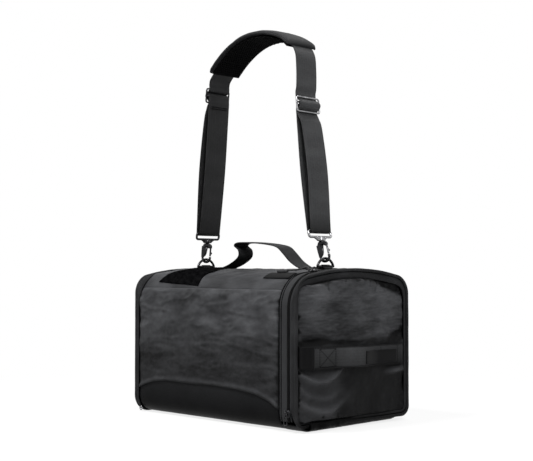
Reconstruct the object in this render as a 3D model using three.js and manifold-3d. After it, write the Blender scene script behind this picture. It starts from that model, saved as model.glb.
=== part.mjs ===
// Soft travel bag for cycling shoes: a fabric box with one zipped end flap, a carry handle
// and an adjustable shoulder strap that clips to two D-rings on top.
// Millimetres, +Z up, +X towards the zipped end. The origin is the middle of the base.
import * as THREE from 'three';
import { mergeVertices } from 'three/addons/utils/BufferGeometryUtils.js';
import Module from 'manifold-3d';

const wasm = await Module();
wasm.setup();

// ---- driving dimensions ----
const bagLength = 352;
const bagWidth = 220;
const bagHeight = 216;
const topCorner = 48;
const bottomCorner = 24;
const crownRadius = 420;
const wall = 3;
const gap = 0.3;

const baseRise = 26;
const shoulderDrop = 28;
const flapDepth = 30;
const tapeWidth = 14;
const plainEndDepth = 10;
const bindingDepth = 8;
const coilWidth = 1.8;
const coilProud = 0.6;
const tapeInset = 0.6;
const tapeThickness = 1.6;
const tapeFoot = 14;
const flapFoot = 9.5;
const flapCorner = 20;
const flapTapeDepth = 3.7;
const baseLipHeight = 9;
const boardThickness = 3;
const hingeStripReach = 5;
const hingeStripThickness = 6;

// the bound rims, and the panels that swell inside them
const rimInner = 5;
const plainRimDepth = 5.7;
const plainRimInset = 0.8;
const flapRimInset = 0.4;
const plainPanelInset = 5.4;
const plainPanelEdge = 3;
const plainPanelRound = 6;
const flapPanelInset = 1.6;
const flapPanelEdge = 10;
const flapPanelRound = 15;

const webbingWidth = 38;
const webbingThickness = 1.6;
const handleWidth = 30;
const handleThickness = 1.8;
const flapHandleHeight = 99;
const flapHandleFrom = -94;
const flapHandleTo = 90;
const flapHandleBow = 9;
const bowStart = -50;
const bowEnd = 41;
const flapPatchFrom = 3;
const flapPatchTo = 80;
const flapPatchRise = 2;
const flapPatchHeight = 17.5;
const patchThickness = 0.8;
const tagLength = 14;
const tagThickness = 2;
const tagOverhang = 1;
const padWidth = 62;
const padAbove = 7;
const padBelow = 3.6;
const gripThickness = 1.2;
const gripMargin = 3;
const padLeftX = -97;
const padLeftRise = 299;
const padRightX = 71;
const padRightRise = 320;

const ringLeftX = -136;
const ringRightX = 115;
const ringWire = 1.75;
const ringArc = 18.2;
const ringArcDrop = 6.55;
const tabWidth = 16;
const tabThickness = 1.2;
const tabHalfLength = 14;

const hookWire = 2;
const hookBow = 6.5;
const noseRise = 2.4;
const neckRise = 16;
const neckHeight = 6;
const neckWall = 1.3;
const neckCap = 1;
const postRadius = 1.6;
const postHeight = 7;
const gateWire = 1.3;
const gateEye = 1.9;
const gateDrop = 2.4;
const gateKnob = 1.7;
const gateKnobRise = 5;
const pinRadius = 0.7;
const hookBarHeight = 41;
const hookSwivelTurn = 20;
const leftHookLean = 6.5;
const rightHookLean = -17;
const loopWire = 3;
const loopHalfWidth = 25;
const loopSide = 4;
const loopSlotHeight = 8.2;
const loopRailDepth = 2;
const loopShoulderDepth = 4.4;
const loopShoulderHalf = 9;
const loopFootHalf = 5;
const socketRadius = 4.2;
const socketHeight = 6;
const socketClearance = 3.4;
const glideWire = 3;
const glideThickness = 2.2;
const glideHalfWidth = 25;
const glideHalfHeight = 12;
const glideSide = 3.6;
const leftGlideX = -110;
const leftGlideRise = 270;
const rightGlideX = 82;
const rightGlideRise = 237;

const sliderHalfLength = 5;
const sliderHalfWidth = 4.7;
const sliderThickness = 2.4;
const bridgeHalfWidth = 1;
const bridgeHalfLength = 3.4;
const bridgeHeight = 3.6;
const bridgeHole = 1.35;
const pivotRise = 1.9;
const tabBar = 1.3;
const tabHalfWidth = 3.2;
const tabReach = 15;
const eyeHalfWidth = 1.6;
const eyeReach = 6;
const cordEyeHalfWidth = 2;
const cordEyeFrom = 8;
const cordEyeTo = 13;
const parkedSliderY = 58;
const lowSliderHeight = 25;
const pullerCordRadius = 1.2;
const gripX = 94;
const gripHalfLength = 10;
const gripDepth = 2;
const gripBevel = 1.2;
const gripRound = 3;

const pileThickness = 1.4;
const pileFromX = -146;
const pileToX = -43;
const pileTopY = -18;
const pileSeamRise = 2;
const labelFromX = 78;
const labelToX = 127;
const labelTopY = -71;
const labelSeamRise = 15;
const eyeletRadius = 2.6;
const eyeletWire = 0.9;
const eyeletHeight = 4.6;
const eyeletInX = 8;
const eyeletInY = 5.9;

// ---- places worked out from them ----
const halfLength = bagLength / 2;
const halfWidth = bagWidth / 2;
const cornerY = halfWidth - topCorner;
const crownZ = bagHeight - crownRadius;
const cornerZ = crownZ + Math.sqrt((crownRadius - topCorner) ** 2 - cornerY ** 2);
const crownAngle = Math.atan2(cornerZ - crownZ, cornerY);
const shoulderZ = bagHeight - shoulderDrop;
const coilX = halfLength - flapDepth;
const bodyEnd = coilX - coilWidth - tapeWidth - 2 * gap;
const plainEnd = -halfLength + plainEndDepth;
const flapCoilStart = coilX + gap;
const flapTapeStart = flapCoilStart + coilWidth + gap;
const bindingStart = flapTapeStart + flapTapeDepth + gap;
const bindingEnd = bindingStart + bindingDepth;
const hingeX = bindingEnd + hingeStripReach;
const plainRimEnd = plainEnd - gap;
const plainRimStart = plainRimEnd - plainRimDepth;
const zipMiddle = coilX + gap / 2;
const sliderLift = coilProud + gap;
const pivotLift = sliderLift + sliderThickness + pivotRise;
const ringBarHeight = bagHeight + 2 * gap + tabThickness + ringWire;
const ringCentreHeight = ringBarHeight - ringArcDrop;
const seatHeight = ringCentreHeight + ringArc;
const leftGlide = [leftGlideX, bagHeight + leftGlideRise];
const rightGlide = [rightGlideX, bagHeight + rightGlideRise];

const fabric = { color: 0x1b1c1e, roughness: 0.8 };
const rubberised = { color: 0x121314, roughness: 0.45 };
const webbing = { color: 0x18191b, roughness: 0.85 };
const zipPlastic = { color: 0x0d0d0e, roughness: 0.5 };
const darkMetal = { color: 0x33353a, roughness: 0.25, metalness: 1 };
const softPad = { color: 0x101112, roughness: 0.9 };
const loopPile = { color: 0x0c0c0d, roughness: 1 };

const bag = new THREE.Group();

function node(name, geometry, look, parent = bag) {
  const mesh = new THREE.Mesh(geometry, new THREE.MeshStandardMaterial(look));
  mesh.name = name;
  parent.add(mesh);
  return mesh;
}

// ---- solids: joining and cutting ----
function solid(geometry) {
  const plain = geometry.clone();
  plain.deleteAttribute('normal');
  plain.deleteAttribute('uv');
  const merged = mergeVertices(plain, 1e-4);
  const vertProperties = new Float32Array(merged.attributes.position.array);
  const triVerts = new Uint32Array(merged.index.array);
  return new wasm.Manifold(new wasm.Mesh({ numProp: 3, vertProperties, triVerts }));
}

function geometryOf(shape) {
  const mesh = shape.getMesh();
  const geometry = new THREE.BufferGeometry();
  geometry.setAttribute('position', new THREE.BufferAttribute(mesh.vertProperties, 3));
  geometry.setIndex(new THREE.BufferAttribute(mesh.triVerts, 1));
  return geometry;
}

function block(low, high) {
  const size = high.map((value, axis) => value - low[axis]);
  const geometry = new THREE.BoxGeometry(...size);
  return geometry.translate(...low.map((value, axis) => value + size[axis] / 2));
}

// A cylinder along Y, or along X, round a point.
function barAlong(axis, radius, length, centre, sides = 12) {
  const geometry = new THREE.CylinderGeometry(radius, radius, length, sides);
  if (axis === 'x') geometry.rotateZ(Math.PI / 2);
  return geometry.translate(...centre);
}

// A round wire swept along a smooth curve through points.
function wire(points, radius, steps, sides = 8) {
  const circle = new THREE.Shape();
  for (let side = 0; side < sides; side += 1) {
    const angle = (side / sides) * 2 * Math.PI;
    const x = radius * Math.cos(angle);
    const y = radius * Math.sin(angle);
    if (side === 0) circle.moveTo(x, y);
    else circle.lineTo(x, y);
  }
  circle.closePath();
  const vectors = points.map((point) => new THREE.Vector3(...point));
  const path = new THREE.CatmullRomCurve3(vectors, false, 'centripetal');
  return new THREE.ExtrudeGeometry(circle, { extrudePath: path, steps });
}

// ---- the bag's cross-section, drawn in Y and Z, and solids extruded from it along X ----
function outline(inset, foot = 0, footCorner = bottomCorner) {
  const shape = new THREE.Shape();
  const footY = halfWidth - footCorner;
  const footZ = foot + footCorner;
  shape.moveTo(-footY, foot + inset);
  shape.lineTo(footY, foot + inset);
  shape.absarc(footY, footZ, footCorner - inset, -Math.PI / 2, 0);
  shape.absarc(cornerY, cornerZ, topCorner - inset, 0, crownAngle);
  shape.absarc(0, crownZ, crownRadius - inset, crownAngle, Math.PI - crownAngle);
  shape.absarc(-cornerY, cornerZ, topCorner - inset, Math.PI - crownAngle, Math.PI);
  shape.absarc(-footY, footZ, footCorner - inset, Math.PI, 1.5 * Math.PI);
  shape.closePath();
  return shape;
}

const sectionToBag = new THREE.Matrix4().makeBasis(
  new THREE.Vector3(0, 1, 0),
  new THREE.Vector3(0, 0, 1),
  new THREE.Vector3(1, 0, 0),
);

function extrudeAlongX(shape, from, to, options = {}) {
  const geometry = new THREE.ExtrudeGeometry(shape, {
    depth: to - from,
    bevelEnabled: false,
    curveSegments: 5,
    ...options,
  });
  return geometry.applyMatrix4(sectionToBag).translate(from, 0, 0);
}

function tube(from, to, outerInset, innerInset, foot, footCorner) {
  const shape = outline(outerInset, foot, footCorner);
  shape.holes.push(new THREE.Path(outline(innerInset, foot, footCorner).getPoints(5).reverse()));
  return solid(extrudeAlongX(shape, from, to));
}

function slab(lowZ, highZ, lowY = -bagWidth, highY = bagWidth) {
  return solid(block([-bagLength, lowY, lowZ], [bagLength, highY, highZ]));
}

// ---- a flat strip of webbing, drawn as a side profile and extruded across its width ----
function stripProfile(points, low, high) {
  const outer = [];
  const inner = [];
  points.forEach((point, index) => {
    const before = points[Math.max(index - 1, 0)];
    const after = points[Math.min(index + 1, points.length - 1)];
    const along = after.clone().sub(before).normalize();
    const normal = new THREE.Vector2(-along.y, along.x);
    outer.push(point.clone().addScaledVector(normal, high));
    inner.push(point.clone().addScaledVector(normal, low));
  });
  return new THREE.Shape([...outer, ...inner.reverse()]);
}

function smooth(points, steps) {
  const curve = new THREE.SplineCurve(points.map((point) => new THREE.Vector2(...point)));
  return curve.getSpacedPoints(steps);
}

const profileToBag = new THREE.Matrix4().makeBasis(
  new THREE.Vector3(1, 0, 0),
  new THREE.Vector3(0, 0, 1),
  new THREE.Vector3(0, -1, 0),
);

function stripAcrossY(points, width, low, high) {
  const profile = stripProfile(points, low, high);
  const geometry = new THREE.ExtrudeGeometry(profile, { depth: width, bevelEnabled: false });
  return geometry.applyMatrix4(profileToBag).translate(0, width / 2, 0);
}

// ---- body shell: base tray, two side panels, top panel and a plain bound end ----
function addShell() {
  const skin = tube(plainEnd, bodyEnd, 0, wall);
  const lip = tube(bodyEnd - wall, bindingEnd, 0, wall).intersect(slab(-1, baseLipHeight));
  node('base_panel', geometryOf(skin.intersect(slab(-1, baseRise)).add(lip)), rubberised);
  const sideSlab = (lowY, highY) => slab(baseRise + gap, shoulderZ - gap, lowY, highY);
  node('front_panel', geometryOf(skin.intersect(sideSlab(-bagWidth, 0))), fabric);
  node('back_panel', geometryOf(skin.intersect(sideSlab(0, bagWidth))), fabric);
  node('top_panel', geometryOf(skin.intersect(slab(shoulderZ, bagHeight + 1))), fabric);

  const boardInset = wall + gap;
  const boardHalfWidth = halfWidth - bottomCorner;
  node('base_board', block(
    [plainEnd + gap, -boardHalfWidth, boardInset],
    [bodyEnd - gap, boardHalfWidth, boardInset + boardThickness],
  ), zipPlastic);

  node('plain_end_binding', geometryOf(tube(plainRimStart, plainRimEnd, plainRimInset, rimInner)), webbing);
  const pillow = extrudeAlongX(outline(plainPanelInset), -halfLength + plainPanelEdge, plainRimEnd, {
    bevelEnabled: true,
    bevelThickness: plainPanelEdge,
    bevelSize: plainPanelRound,
    bevelOffset: -plainPanelRound,
    bevelSegments: 3,
  });
  const inside = solid(block([-bagLength, -bagWidth, -1], [plainRimEnd, bagWidth, bagHeight + 1]));
  node('plain_end_panel', geometryOf(solid(pillow).intersect(inside)), fabric);
}

// ---- the zip: two tapes and two coils that follow the sides and the top ----
function addZip() {
  const above = slab(tapeFoot, bagHeight + 2);
  const tapeInner = tapeInset + tapeThickness;
  const ribbon = (from, to, outer) => geometryOf(tube(from, to, outer, tapeInner).intersect(above));
  node('body_zip_tape', ribbon(bodyEnd + gap, coilX - coilWidth - gap, tapeInset), zipPlastic);
  node('body_zip_coil', ribbon(coilX - coilWidth, coilX, -coilProud), zipPlastic);
  node('flap_zip_coil', ribbon(flapCoilStart, flapCoilStart + coilWidth, -coilProud), zipPlastic);
  node('flap_zip_tape', ribbon(flapTapeStart, bindingStart - gap, tapeInset), zipPlastic);
}

// ---- the end flap: bound rim, padded panel and the fabric strip that it hinges on ----
function addFlap() {
  const rim = tube(bindingStart, bindingEnd, flapRimInset, rimInner, flapFoot, flapCorner);
  node('flap_binding', geometryOf(rim), webbing);
  const section = outline(flapPanelInset, flapFoot, flapCorner);
  const bulge = extrudeAlongX(section, bindingStart, halfLength - flapPanelEdge, {
    bevelEnabled: true,
    bevelThickness: flapPanelEdge,
    bevelSize: flapPanelRound,
    bevelOffset: -flapPanelRound,
    bevelSegments: 4,
  });
  const outside = solid(block([bindingEnd + gap, -bagWidth, -1], [bagLength, bagWidth, bagHeight + 1]));
  node('flap_panel', geometryOf(solid(bulge).intersect(outside)), fabric);
  const hingeHalf = halfWidth - bottomCorner;
  node('flap_hinge_strip', block(
    [bindingEnd + gap, -hingeHalf, baseLipHeight - hingeStripThickness],
    [hingeX, hingeHalf, baseLipHeight],
  ), webbing);
}

// ---- handle, tag and patch sewn across the flap, drawn in Y and X ----
function handleBow(y) {
  if (y <= bowStart || y >= bowEnd) return 0;
  const turn = ((y - bowStart) / (bowEnd - bowStart)) * 2 * Math.PI;
  return flapHandleBow * 0.5 * (1 - Math.cos(turn));
}

function flapStrip(fromY, toY, lift, thickness, lowZ, highZ) {
  const steps = 14;
  const start = Math.max(fromY, bowStart);
  const places = fromY < start ? [fromY] : [];
  for (let step = 0; step <= steps; step += 1) places.push(start + ((bowEnd - start) * step) / steps);
  places.push(toY);
  const points = places.map((y) => new THREE.Vector2(-y, halfLength + lift + handleBow(y)));
  const profile = stripProfile(points, -thickness / 2, thickness / 2);
  const geometry = new THREE.ExtrudeGeometry(profile, { depth: highZ - lowZ, bevelEnabled: false });
  // profile x runs along -Y, profile y along +X, and the depth runs up
  return geometry.rotateZ(-Math.PI / 2).translate(0, 0, lowZ);
}

function addFlapHandle() {
  const low = flapHandleHeight - handleWidth / 2;
  const high = flapHandleHeight + handleWidth / 2;
  const handleLift = gap + handleThickness / 2;
  const handle = flapStrip(flapHandleFrom, flapHandleTo, handleLift, handleThickness, low, high);
  node('flap_handle', handle, webbing);
  const patchLift = 2 * gap + handleThickness + patchThickness / 2;
  const patchLow = low + flapPatchRise;
  const patchHigh = patchLow + flapPatchHeight;
  const patch = flapStrip(flapPatchFrom, flapPatchTo, patchLift, patchThickness, patchLow, patchHigh);
  node('flap_handle_patch', patch, softPad);
  const tagX = halfLength + gap;
  const tagTo = flapHandleFrom - gap;
  node('flap_tag', block(
    [tagX, tagTo - tagLength, low - tagOverhang],
    [tagX + tagThickness, tagTo, high + tagOverhang],
  ), webbing);
}

// ---- zip slider with a bridge, and a pull tab whose crossbar runs through the bridge ----
// Drawn lying on a flat tape: X across the zip, Y along it, Z off the tape.
function sliderGeometry() {
  const top = sliderLift + sliderThickness;
  const plate = solid(block(
    [zipMiddle - sliderHalfWidth, -sliderHalfLength, sliderLift],
    [zipMiddle + sliderHalfWidth, sliderHalfLength, top],
  ));
  const flange = solid(block(
    [zipMiddle - sliderHalfWidth, -sliderHalfLength, gap - tapeInset],
    [coilX - coilWidth - gap, sliderHalfLength, top],
  ));
  const bridge = solid(block(
    [zipMiddle - bridgeHalfWidth, -bridgeHalfLength, sliderLift],
    [zipMiddle + bridgeHalfWidth, bridgeHalfLength, top + bridgeHeight],
  ));
  const hole = solid(barAlong('x', bridgeHole, 4 * bridgeHalfWidth, [zipMiddle, 0, pivotLift]));
  return geometryOf(plate.add(flange).add(bridge).subtract(hole));
}

function rectanglePath(halfAcross, from, to, path = new THREE.Path()) {
  path.moveTo(-halfAcross, from);
  path.lineTo(halfAcross, from);
  path.lineTo(halfAcross, to);
  path.lineTo(-halfAcross, to);
  path.closePath();
  return path;
}

function tabGeometry() {
  const frame = rectanglePath(tabHalfWidth, -tabReach, tabBar / 2, new THREE.Shape());
  frame.holes.push(rectanglePath(eyeHalfWidth, -tabBar / 2, -eyeReach));
  frame.holes.push(rectanglePath(cordEyeHalfWidth, -cordEyeFrom, -cordEyeTo));
  const geometry = new THREE.ExtrudeGeometry(frame, { depth: tabBar, bevelEnabled: false });
  return geometry.translate(zipMiddle, 0, pivotLift - tabBar / 2);
}

// The cord runs up through the tab's cord eye and lies back on the crown, to its moulded grip.
const pullerCordY = -(cordEyeFrom + cordEyeTo) / 2;
const gripY = pullerCordY + 3;

function pullerCordGeometry() {
  return wire([
    [zipMiddle, pullerCordY, pivotLift - 2.2],
    [zipMiddle, pullerCordY, pivotLift + 1.4],
    [zipMiddle - 3.5, pullerCordY, pivotLift + 2.8],
    [zipMiddle - 12, pullerCordY + 1, pivotLift + 1.2],
    [zipMiddle - 26, pullerCordY + 2, 4.2],
    [gripX + gripHalfLength + gap, gripY, 3.4],
  ], pullerCordRadius, 16);
}

function pullerGripGeometry() {
  const reach = gripHalfLength - gripRound - 1;
  const shape = new THREE.Shape();
  shape.absarc(-reach, 0, gripRound, Math.PI / 2, 1.5 * Math.PI);
  shape.absarc(reach, 0, gripRound, -Math.PI / 2, Math.PI / 2);
  shape.closePath();
  const grip = new THREE.ExtrudeGeometry(shape, {
    depth: gripDepth,
    bevelThickness: gripBevel,
    bevelSize: 1,
    bevelSegments: 2,
    curveSegments: 6,
  });
  return grip.translate(gripX, gripY, gap + gripBevel + 0.1);
}

function addSliders() {
  const topZip = new THREE.Group();
  topZip.position.set(0, 0, crownZ);
  topZip.rotation.x = Math.asin(parkedSliderY / crownRadius);
  bag.add(topZip);
  const onCrown = (geometry) => geometry.translate(0, 0, crownRadius);
  node('top_slider', onCrown(sliderGeometry()), darkMetal, topZip);
  node('top_pull_tab', onCrown(tabGeometry()), darkMetal, topZip);
  node('top_puller_cord', onCrown(pullerCordGeometry()), webbing, topZip);
  node('top_puller_grip', onCrown(pullerGripGeometry()), zipPlastic, topZip);

  const frontZip = new THREE.Group();
  frontZip.position.set(0, -halfWidth, lowSliderHeight);
  frontZip.rotation.x = Math.PI / 2;
  bag.add(frontZip);
  node('low_slider', sliderGeometry(), darkMetal, frontZip);
  node('low_pull_tab', tabGeometry(), darkMetal, frontZip);
}

// ---- carry handle: one webbing strap sewn down at both ends of the top ----
function addCarryHandle() {
  const lie = bagHeight + gap + handleThickness / 2;
  const points = smooth([
    [-108, 0], [-98, 0], [-86, 0.4], [-66, 6.8], [-49, 16.8], [-48, 26.8], [-57, 33.8], [-52, 38.4],
    [-36, 38.8], [-10, 37.8], [18, 34.8], [34, 30.8], [46, 21.8], [60, 9.8], [76, 1.4], [86, 0], [97, 0],
  ].map(([x, rise]) => [x, lie + rise]), 56);
  node('carry_handle', stripAcrossY(points, handleWidth, -handleThickness / 2, handleThickness / 2), webbing);
}

// ---- D-rings in webbing tabs sewn to the top ----
function ringGeometry(x) {
  const chord = Math.sqrt(ringArc ** 2 - (ringBarHeight - ringCentreHeight) ** 2);
  const startAngle = Math.atan2(ringBarHeight - ringCentreHeight, chord);
  const steps = 16;
  const points = [];
  for (let step = 0; step <= steps; step += 1) {
    const angle = startAngle + ((Math.PI - 2 * startAngle) * step) / steps;
    points.push([x, ringArc * Math.cos(angle), ringCentreHeight + ringArc * Math.sin(angle)]);
  }
  let ring = solid(wire(points, ringWire, 20, 10));
  ring = ring.add(solid(barAlong('y', ringWire, 2 * chord, [x, 0, ringBarHeight], 10)));
  for (const side of [-1, 1]) {
    const ball = new THREE.SphereGeometry(ringWire * 1.02, 10, 8);
    ring = ring.add(solid(ball.translate(x, side * chord, ringBarHeight)));
  }
  return geometryOf(ring);
}

function tabLoopGeometry(x) {
  const sleeve = ringWire + gap + tabThickness;
  const foot = solid(block(
    [x - tabHalfLength, -tabWidth / 2, bagHeight + gap],
    [x + tabHalfLength, tabWidth / 2, bagHeight + gap + tabThickness],
  ));
  const hump = solid(barAlong('y', sleeve, tabWidth, [x, 0, ringBarHeight], 16));
  const bore = solid(barAlong('y', ringWire + gap, tabWidth + 2, [x, 0, ringBarHeight], 16));
  const floor = solid(block(
    [x - 2 * tabHalfLength, -tabWidth, bagHeight + gap],
    [x + 2 * tabHalfLength, tabWidth, ringBarHeight + 2 * sleeve],
  ));
  return geometryOf(foot.add(hump).intersect(floor).subtract(bore));
}

// ---- snap hook, drawn with the ring's wire at the origin, Z along the hook ----
const bowDrop = ringWire + gap + hookWire;
const bowCentre = hookBow - bowDrop;
const noseTop = bowCentre + noseRise;
const neckBottom = bowCentre + neckRise;
const neckTop = neckBottom + neckHeight;
const loopBottom = neckTop + socketClearance;
const gatePinHeight = neckBottom - gap + gateDrop;
const slotHalf = gateWire + gap;
const neckHalf = slotHalf + neckWall;
const pinHole = pinRadius + gap;

function hookBodyGeometry() {
  const points = [[-hookBow, 0, neckBottom + 2], [-hookBow, 0, bowCentre + 8], [-hookBow, 0, bowCentre + 1]];
  for (let step = 0; step <= 8; step += 1) {
    const angle = Math.PI + (Math.PI * step) / 8;
    points.push([hookBow * Math.cos(angle), 0, bowCentre + hookBow * Math.sin(angle)]);
  }
  points.push([hookBow, 0, noseTop]);
  let hook = solid(wire(points, hookWire, 30, 8));
  const neck = block([-hookBow - postRadius, -neckHalf, neckBottom], [hookBow + hookWire, neckHalf, neckTop]);
  const slot = block(
    [hookBow - 2 * gateWire, -slotHalf, neckBottom - neckCap],
    [hookBow + 2 * hookWire, slotHalf, neckTop - neckCap],
  );
  hook = hook.add(solid(neck)).subtract(solid(slot));
  const post = new THREE.CylinderGeometry(postRadius, postRadius, postHeight, 10).rotateX(Math.PI / 2);
  hook = hook.add(solid(post.translate(0, 0, neckTop + postHeight / 2 - neckCap)));
  const bore = barAlong('y', pinHole, 4 * neckHalf, [hookBow, 0, gatePinHeight]);
  return geometryOf(hook.subtract(solid(bore)));
}

function gateGeometry() {
  const top = gatePinHeight + 2 * pinRadius;
  const bottom = noseTop + gap;
  const rod = new THREE.CylinderGeometry(gateWire, gateWire, top - bottom, 8).rotateX(Math.PI / 2);
  let gate = solid(rod.translate(hookBow, 0, (top + bottom) / 2));
  const eye = barAlong('y', gateEye, 2 * gateWire, [hookBow, 0, gatePinHeight]);
  const knob = new THREE.SphereGeometry(gateKnob, 8, 6);
  knob.translate(hookBow + gateWire + gateKnob / 2, 0, bottom + gateKnobRise);
  gate = gate.add(solid(eye)).add(solid(knob));
  const bore = barAlong('y', pinHole, 4 * neckHalf, [hookBow, 0, gatePinHeight]);
  return geometryOf(gate.subtract(solid(bore)));
}

function hookLoopGeometry() {
  const half = loopHalfWidth;
  const top = hookBarHeight + loopWire / 2;
  const slotTop = hookBarHeight - loopWire / 2;
  const slotBottom = hookBarHeight - loopSlotHeight;
  const plate = new THREE.Shape();
  plate.moveTo(-half, top);
  plate.lineTo(-half, slotBottom - loopRailDepth);
  plate.lineTo(-loopShoulderHalf, slotBottom - loopShoulderDepth);
  plate.lineTo(-loopFootHalf, loopBottom);
  plate.lineTo(loopFootHalf, loopBottom);
  plate.lineTo(loopShoulderHalf, slotBottom - loopShoulderDepth);
  plate.lineTo(half, slotBottom - loopRailDepth);
  plate.lineTo(half, top);
  plate.closePath();
  plate.holes.push(rectanglePath(half - loopSide, slotTop, slotBottom));
  const flat = new THREE.ExtrudeGeometry(plate, { depth: loopWire, bevelEnabled: false });
  const upright = flat.applyMatrix4(sectionToBag).translate(-loopWire / 2, 0, 0);
  const socket = new THREE.CylinderGeometry(socketRadius, socketRadius, socketHeight, 12);
  socket.rotateX(Math.PI / 2).translate(0, 0, loopBottom + 1.4);
  const boreRadius = postRadius + gap;
  const bore = new THREE.CylinderGeometry(boreRadius, boreRadius, 2 * socketHeight, 12);
  bore.rotateX(Math.PI / 2).translate(0, 0, neckTop + gap + 0.6);
  return geometryOf(solid(upright).add(solid(socket)).subtract(solid(bore)));
}

function addHook(side, x, lean) {
  const whole = new THREE.Group();
  whole.position.set(x, 0, seatHeight);
  whole.rotation.y = THREE.MathUtils.degToRad(lean);
  bag.add(whole);
  node(`${side}_hook_loop`, hookLoopGeometry(), darkMetal, whole);
  const swivel = new THREE.Group();
  swivel.rotation.z = THREE.MathUtils.degToRad(hookSwivelTurn);
  whole.add(swivel);
  node(`${side}_hook_body`, hookBodyGeometry(), darkMetal, swivel);
  node(`${side}_hook_gate`, gateGeometry(), darkMetal, swivel);
  const pin = barAlong('y', pinRadius, 2 * neckHalf, [hookBow, 0, gatePinHeight]);
  node(`${side}_gate_pin`, pin, darkMetal, swivel);
}

// ---- shoulder strap: one webbing that loops round each hook and ends round each glide ----
function hookBar(x, lean) {
  const angle = THREE.MathUtils.degToRad(lean);
  return [x + hookBarHeight * Math.sin(angle), seatHeight + hookBarHeight * Math.cos(angle)];
}

// Points of one lower loop, from the glide's centre bar down round the hook's bar and back up
// through the glide. outward is -1 on the left and 1 on the right.
function lowerLoop(bar, glide, outward) {
  const up = new THREE.Vector2(glide[0] - bar[0], glide[1] - bar[1]);
  const length = up.length();
  up.normalize();
  const out = new THREE.Vector2(up.y, -up.x).multiplyScalar(outward);
  const place = (u, v) => [bar[0] + out.x * u + up.x * v, bar[1] + out.y * u + up.y * v];
  const half = webbingThickness / 2;
  const bend = loopWire * Math.SQRT1_2 + gap + half + 0.2;
  const wrap = glideWire * Math.SQRT1_2 + gap + half;
  const over = wrap + webbingThickness + gap;
  const pass = glideWire / 2 + 2 * gap + half;
  const under = pass + webbingThickness + gap;
  const bars = glideHalfHeight - glideWire / 2;
  const slot = (wrap + half + glideHalfHeight - glideWire) / 2;
  const sewn = [];
  for (let step = -1; step <= 4; step += 1) {
    const angle = (step * Math.PI) / 4;
    sewn.push([wrap * Math.cos(angle), length + wrap * Math.sin(angle)]);
  }
  const round = [];
  for (let step = 0; step <= 4; step += 1) {
    const angle = (step * Math.PI) / 4;
    round.push([-bend * Math.cos(angle), -bend * Math.sin(angle)]);
  }
  const weave = (side) => [
    [-pass, length + side * (bars + 2)], [-pass, length + side * bars],
    [-pass + 0.3, length + side * (bars - 1.9)], [-pass + 2.3, length + side * (slot + 0.2)],
    [0.62 * over, length + side * 0.83 * over],
  ];
  const local = [
    ...sewn, [-under + 0.7, length - slot + 1], [-under, length - bars], [-under, length - bars - 3],
    [-bend - 2, length * 0.8], [-bend - 3, length * 0.45], [-bend - 0.6, 12], ...round, [bend + 0.6, 12],
    [bend + 4, length * 0.45], [bend + 1, length * 0.8], [0, length - bars - 9], ...weave(-1), [over, length],
    ...weave(1).reverse(), [-pass + 0.4, length + bars + 8],
  ];
  return local.map(([u, v]) => place(u, v));
}

const leftBar = hookBar(ringLeftX, leftHookLean);
const rightBar = hookBar(ringRightX, rightHookLean);
const archPoints = [
  [-103, 295], [-90, 308], [-71, 324], [-47, 338], [-20, 346.5], [12, 347.5], [41, 341], [63, 330],
  [76, 313], [79, 289], [79, 264],
].map(([x, rise]) => [x, bagHeight + rise]);

function padSpan(points) {
  const from = points.findIndex((point) => point.x > padLeftX && point.y > bagHeight + padLeftRise);
  const to = points.findLastIndex((point) => point.x < padRightX && point.y > bagHeight + padRightRise);
  return points.slice(from, to + 1);
}

function addStrap() {
  const left = lowerLoop(leftBar, leftGlide, -1);
  const right = lowerLoop(rightBar, rightGlide, 1).reverse();
  const webbingPoints = smooth([...left, ...archPoints, ...right], 300);
  const half = webbingThickness / 2;
  node('strap_webbing', stripAcrossY(webbingPoints, webbingWidth, -half, half), webbing);

  const arch = smooth([left.at(-1), ...archPoints, right[0]], 40);
  const span = padSpan(arch);
  const padLow = -padBelow;
  const sleeve = solid(stripAcrossY(span, padWidth, padLow, padAbove));
  const tunnel = solid(stripAcrossY(arch, webbingWidth + 2 * gap, -half - gap, half + gap));
  node('shoulder_pad', geometryOf(sleeve.subtract(tunnel)), softPad);
  const gripTop = padLow - gap;
  const grip = stripAcrossY(span, padWidth - 2 * gripMargin, gripTop - gripThickness, gripTop);
  node('pad_grip', grip, loopPile);
}

function glideGeometry(bar, glide) {
  const plate = rectanglePath(glideHalfWidth, -glideHalfHeight, glideHalfHeight, new THREE.Shape());
  const near = glideWire / 2;
  const far = glideHalfHeight - glideWire;
  plate.holes.push(rectanglePath(glideHalfWidth - glideSide, near, far));
  plate.holes.push(rectanglePath(glideHalfWidth - glideSide, -far, -near));
  const flat = new THREE.ExtrudeGeometry(plate, { depth: glideThickness, bevelEnabled: false });
  const upright = flat.applyMatrix4(sectionToBag).translate(-glideThickness / 2, 0, 0);
  const lean = Math.atan2(glide[0] - bar[0], glide[1] - bar[1]);
  return upright.rotateY(lean).translate(glide[0], 0, glide[1]);
}

// ---- patches: a pile patch over the far front shoulder and a bare label patch ----
function shoulderPatch(fromX, toX, thickness, lowZ, highY) {
  const skin = tube(fromX, toX, -gap - thickness, -gap);
  return geometryOf(skin.intersect(slab(lowZ, bagHeight + 4, -bagWidth, highY)));
}

function addPatches() {
  const pileLow = shoulderZ + pileSeamRise;
  const labelLow = shoulderZ + labelSeamRise;
  node('pile_patch', shoulderPatch(pileFromX, pileToX, pileThickness, pileLow, pileTopY), loopPile);
  node('label_patch', shoulderPatch(labelFromX, labelToX, patchThickness, labelLow, labelTopY), softPad);
}

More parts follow.
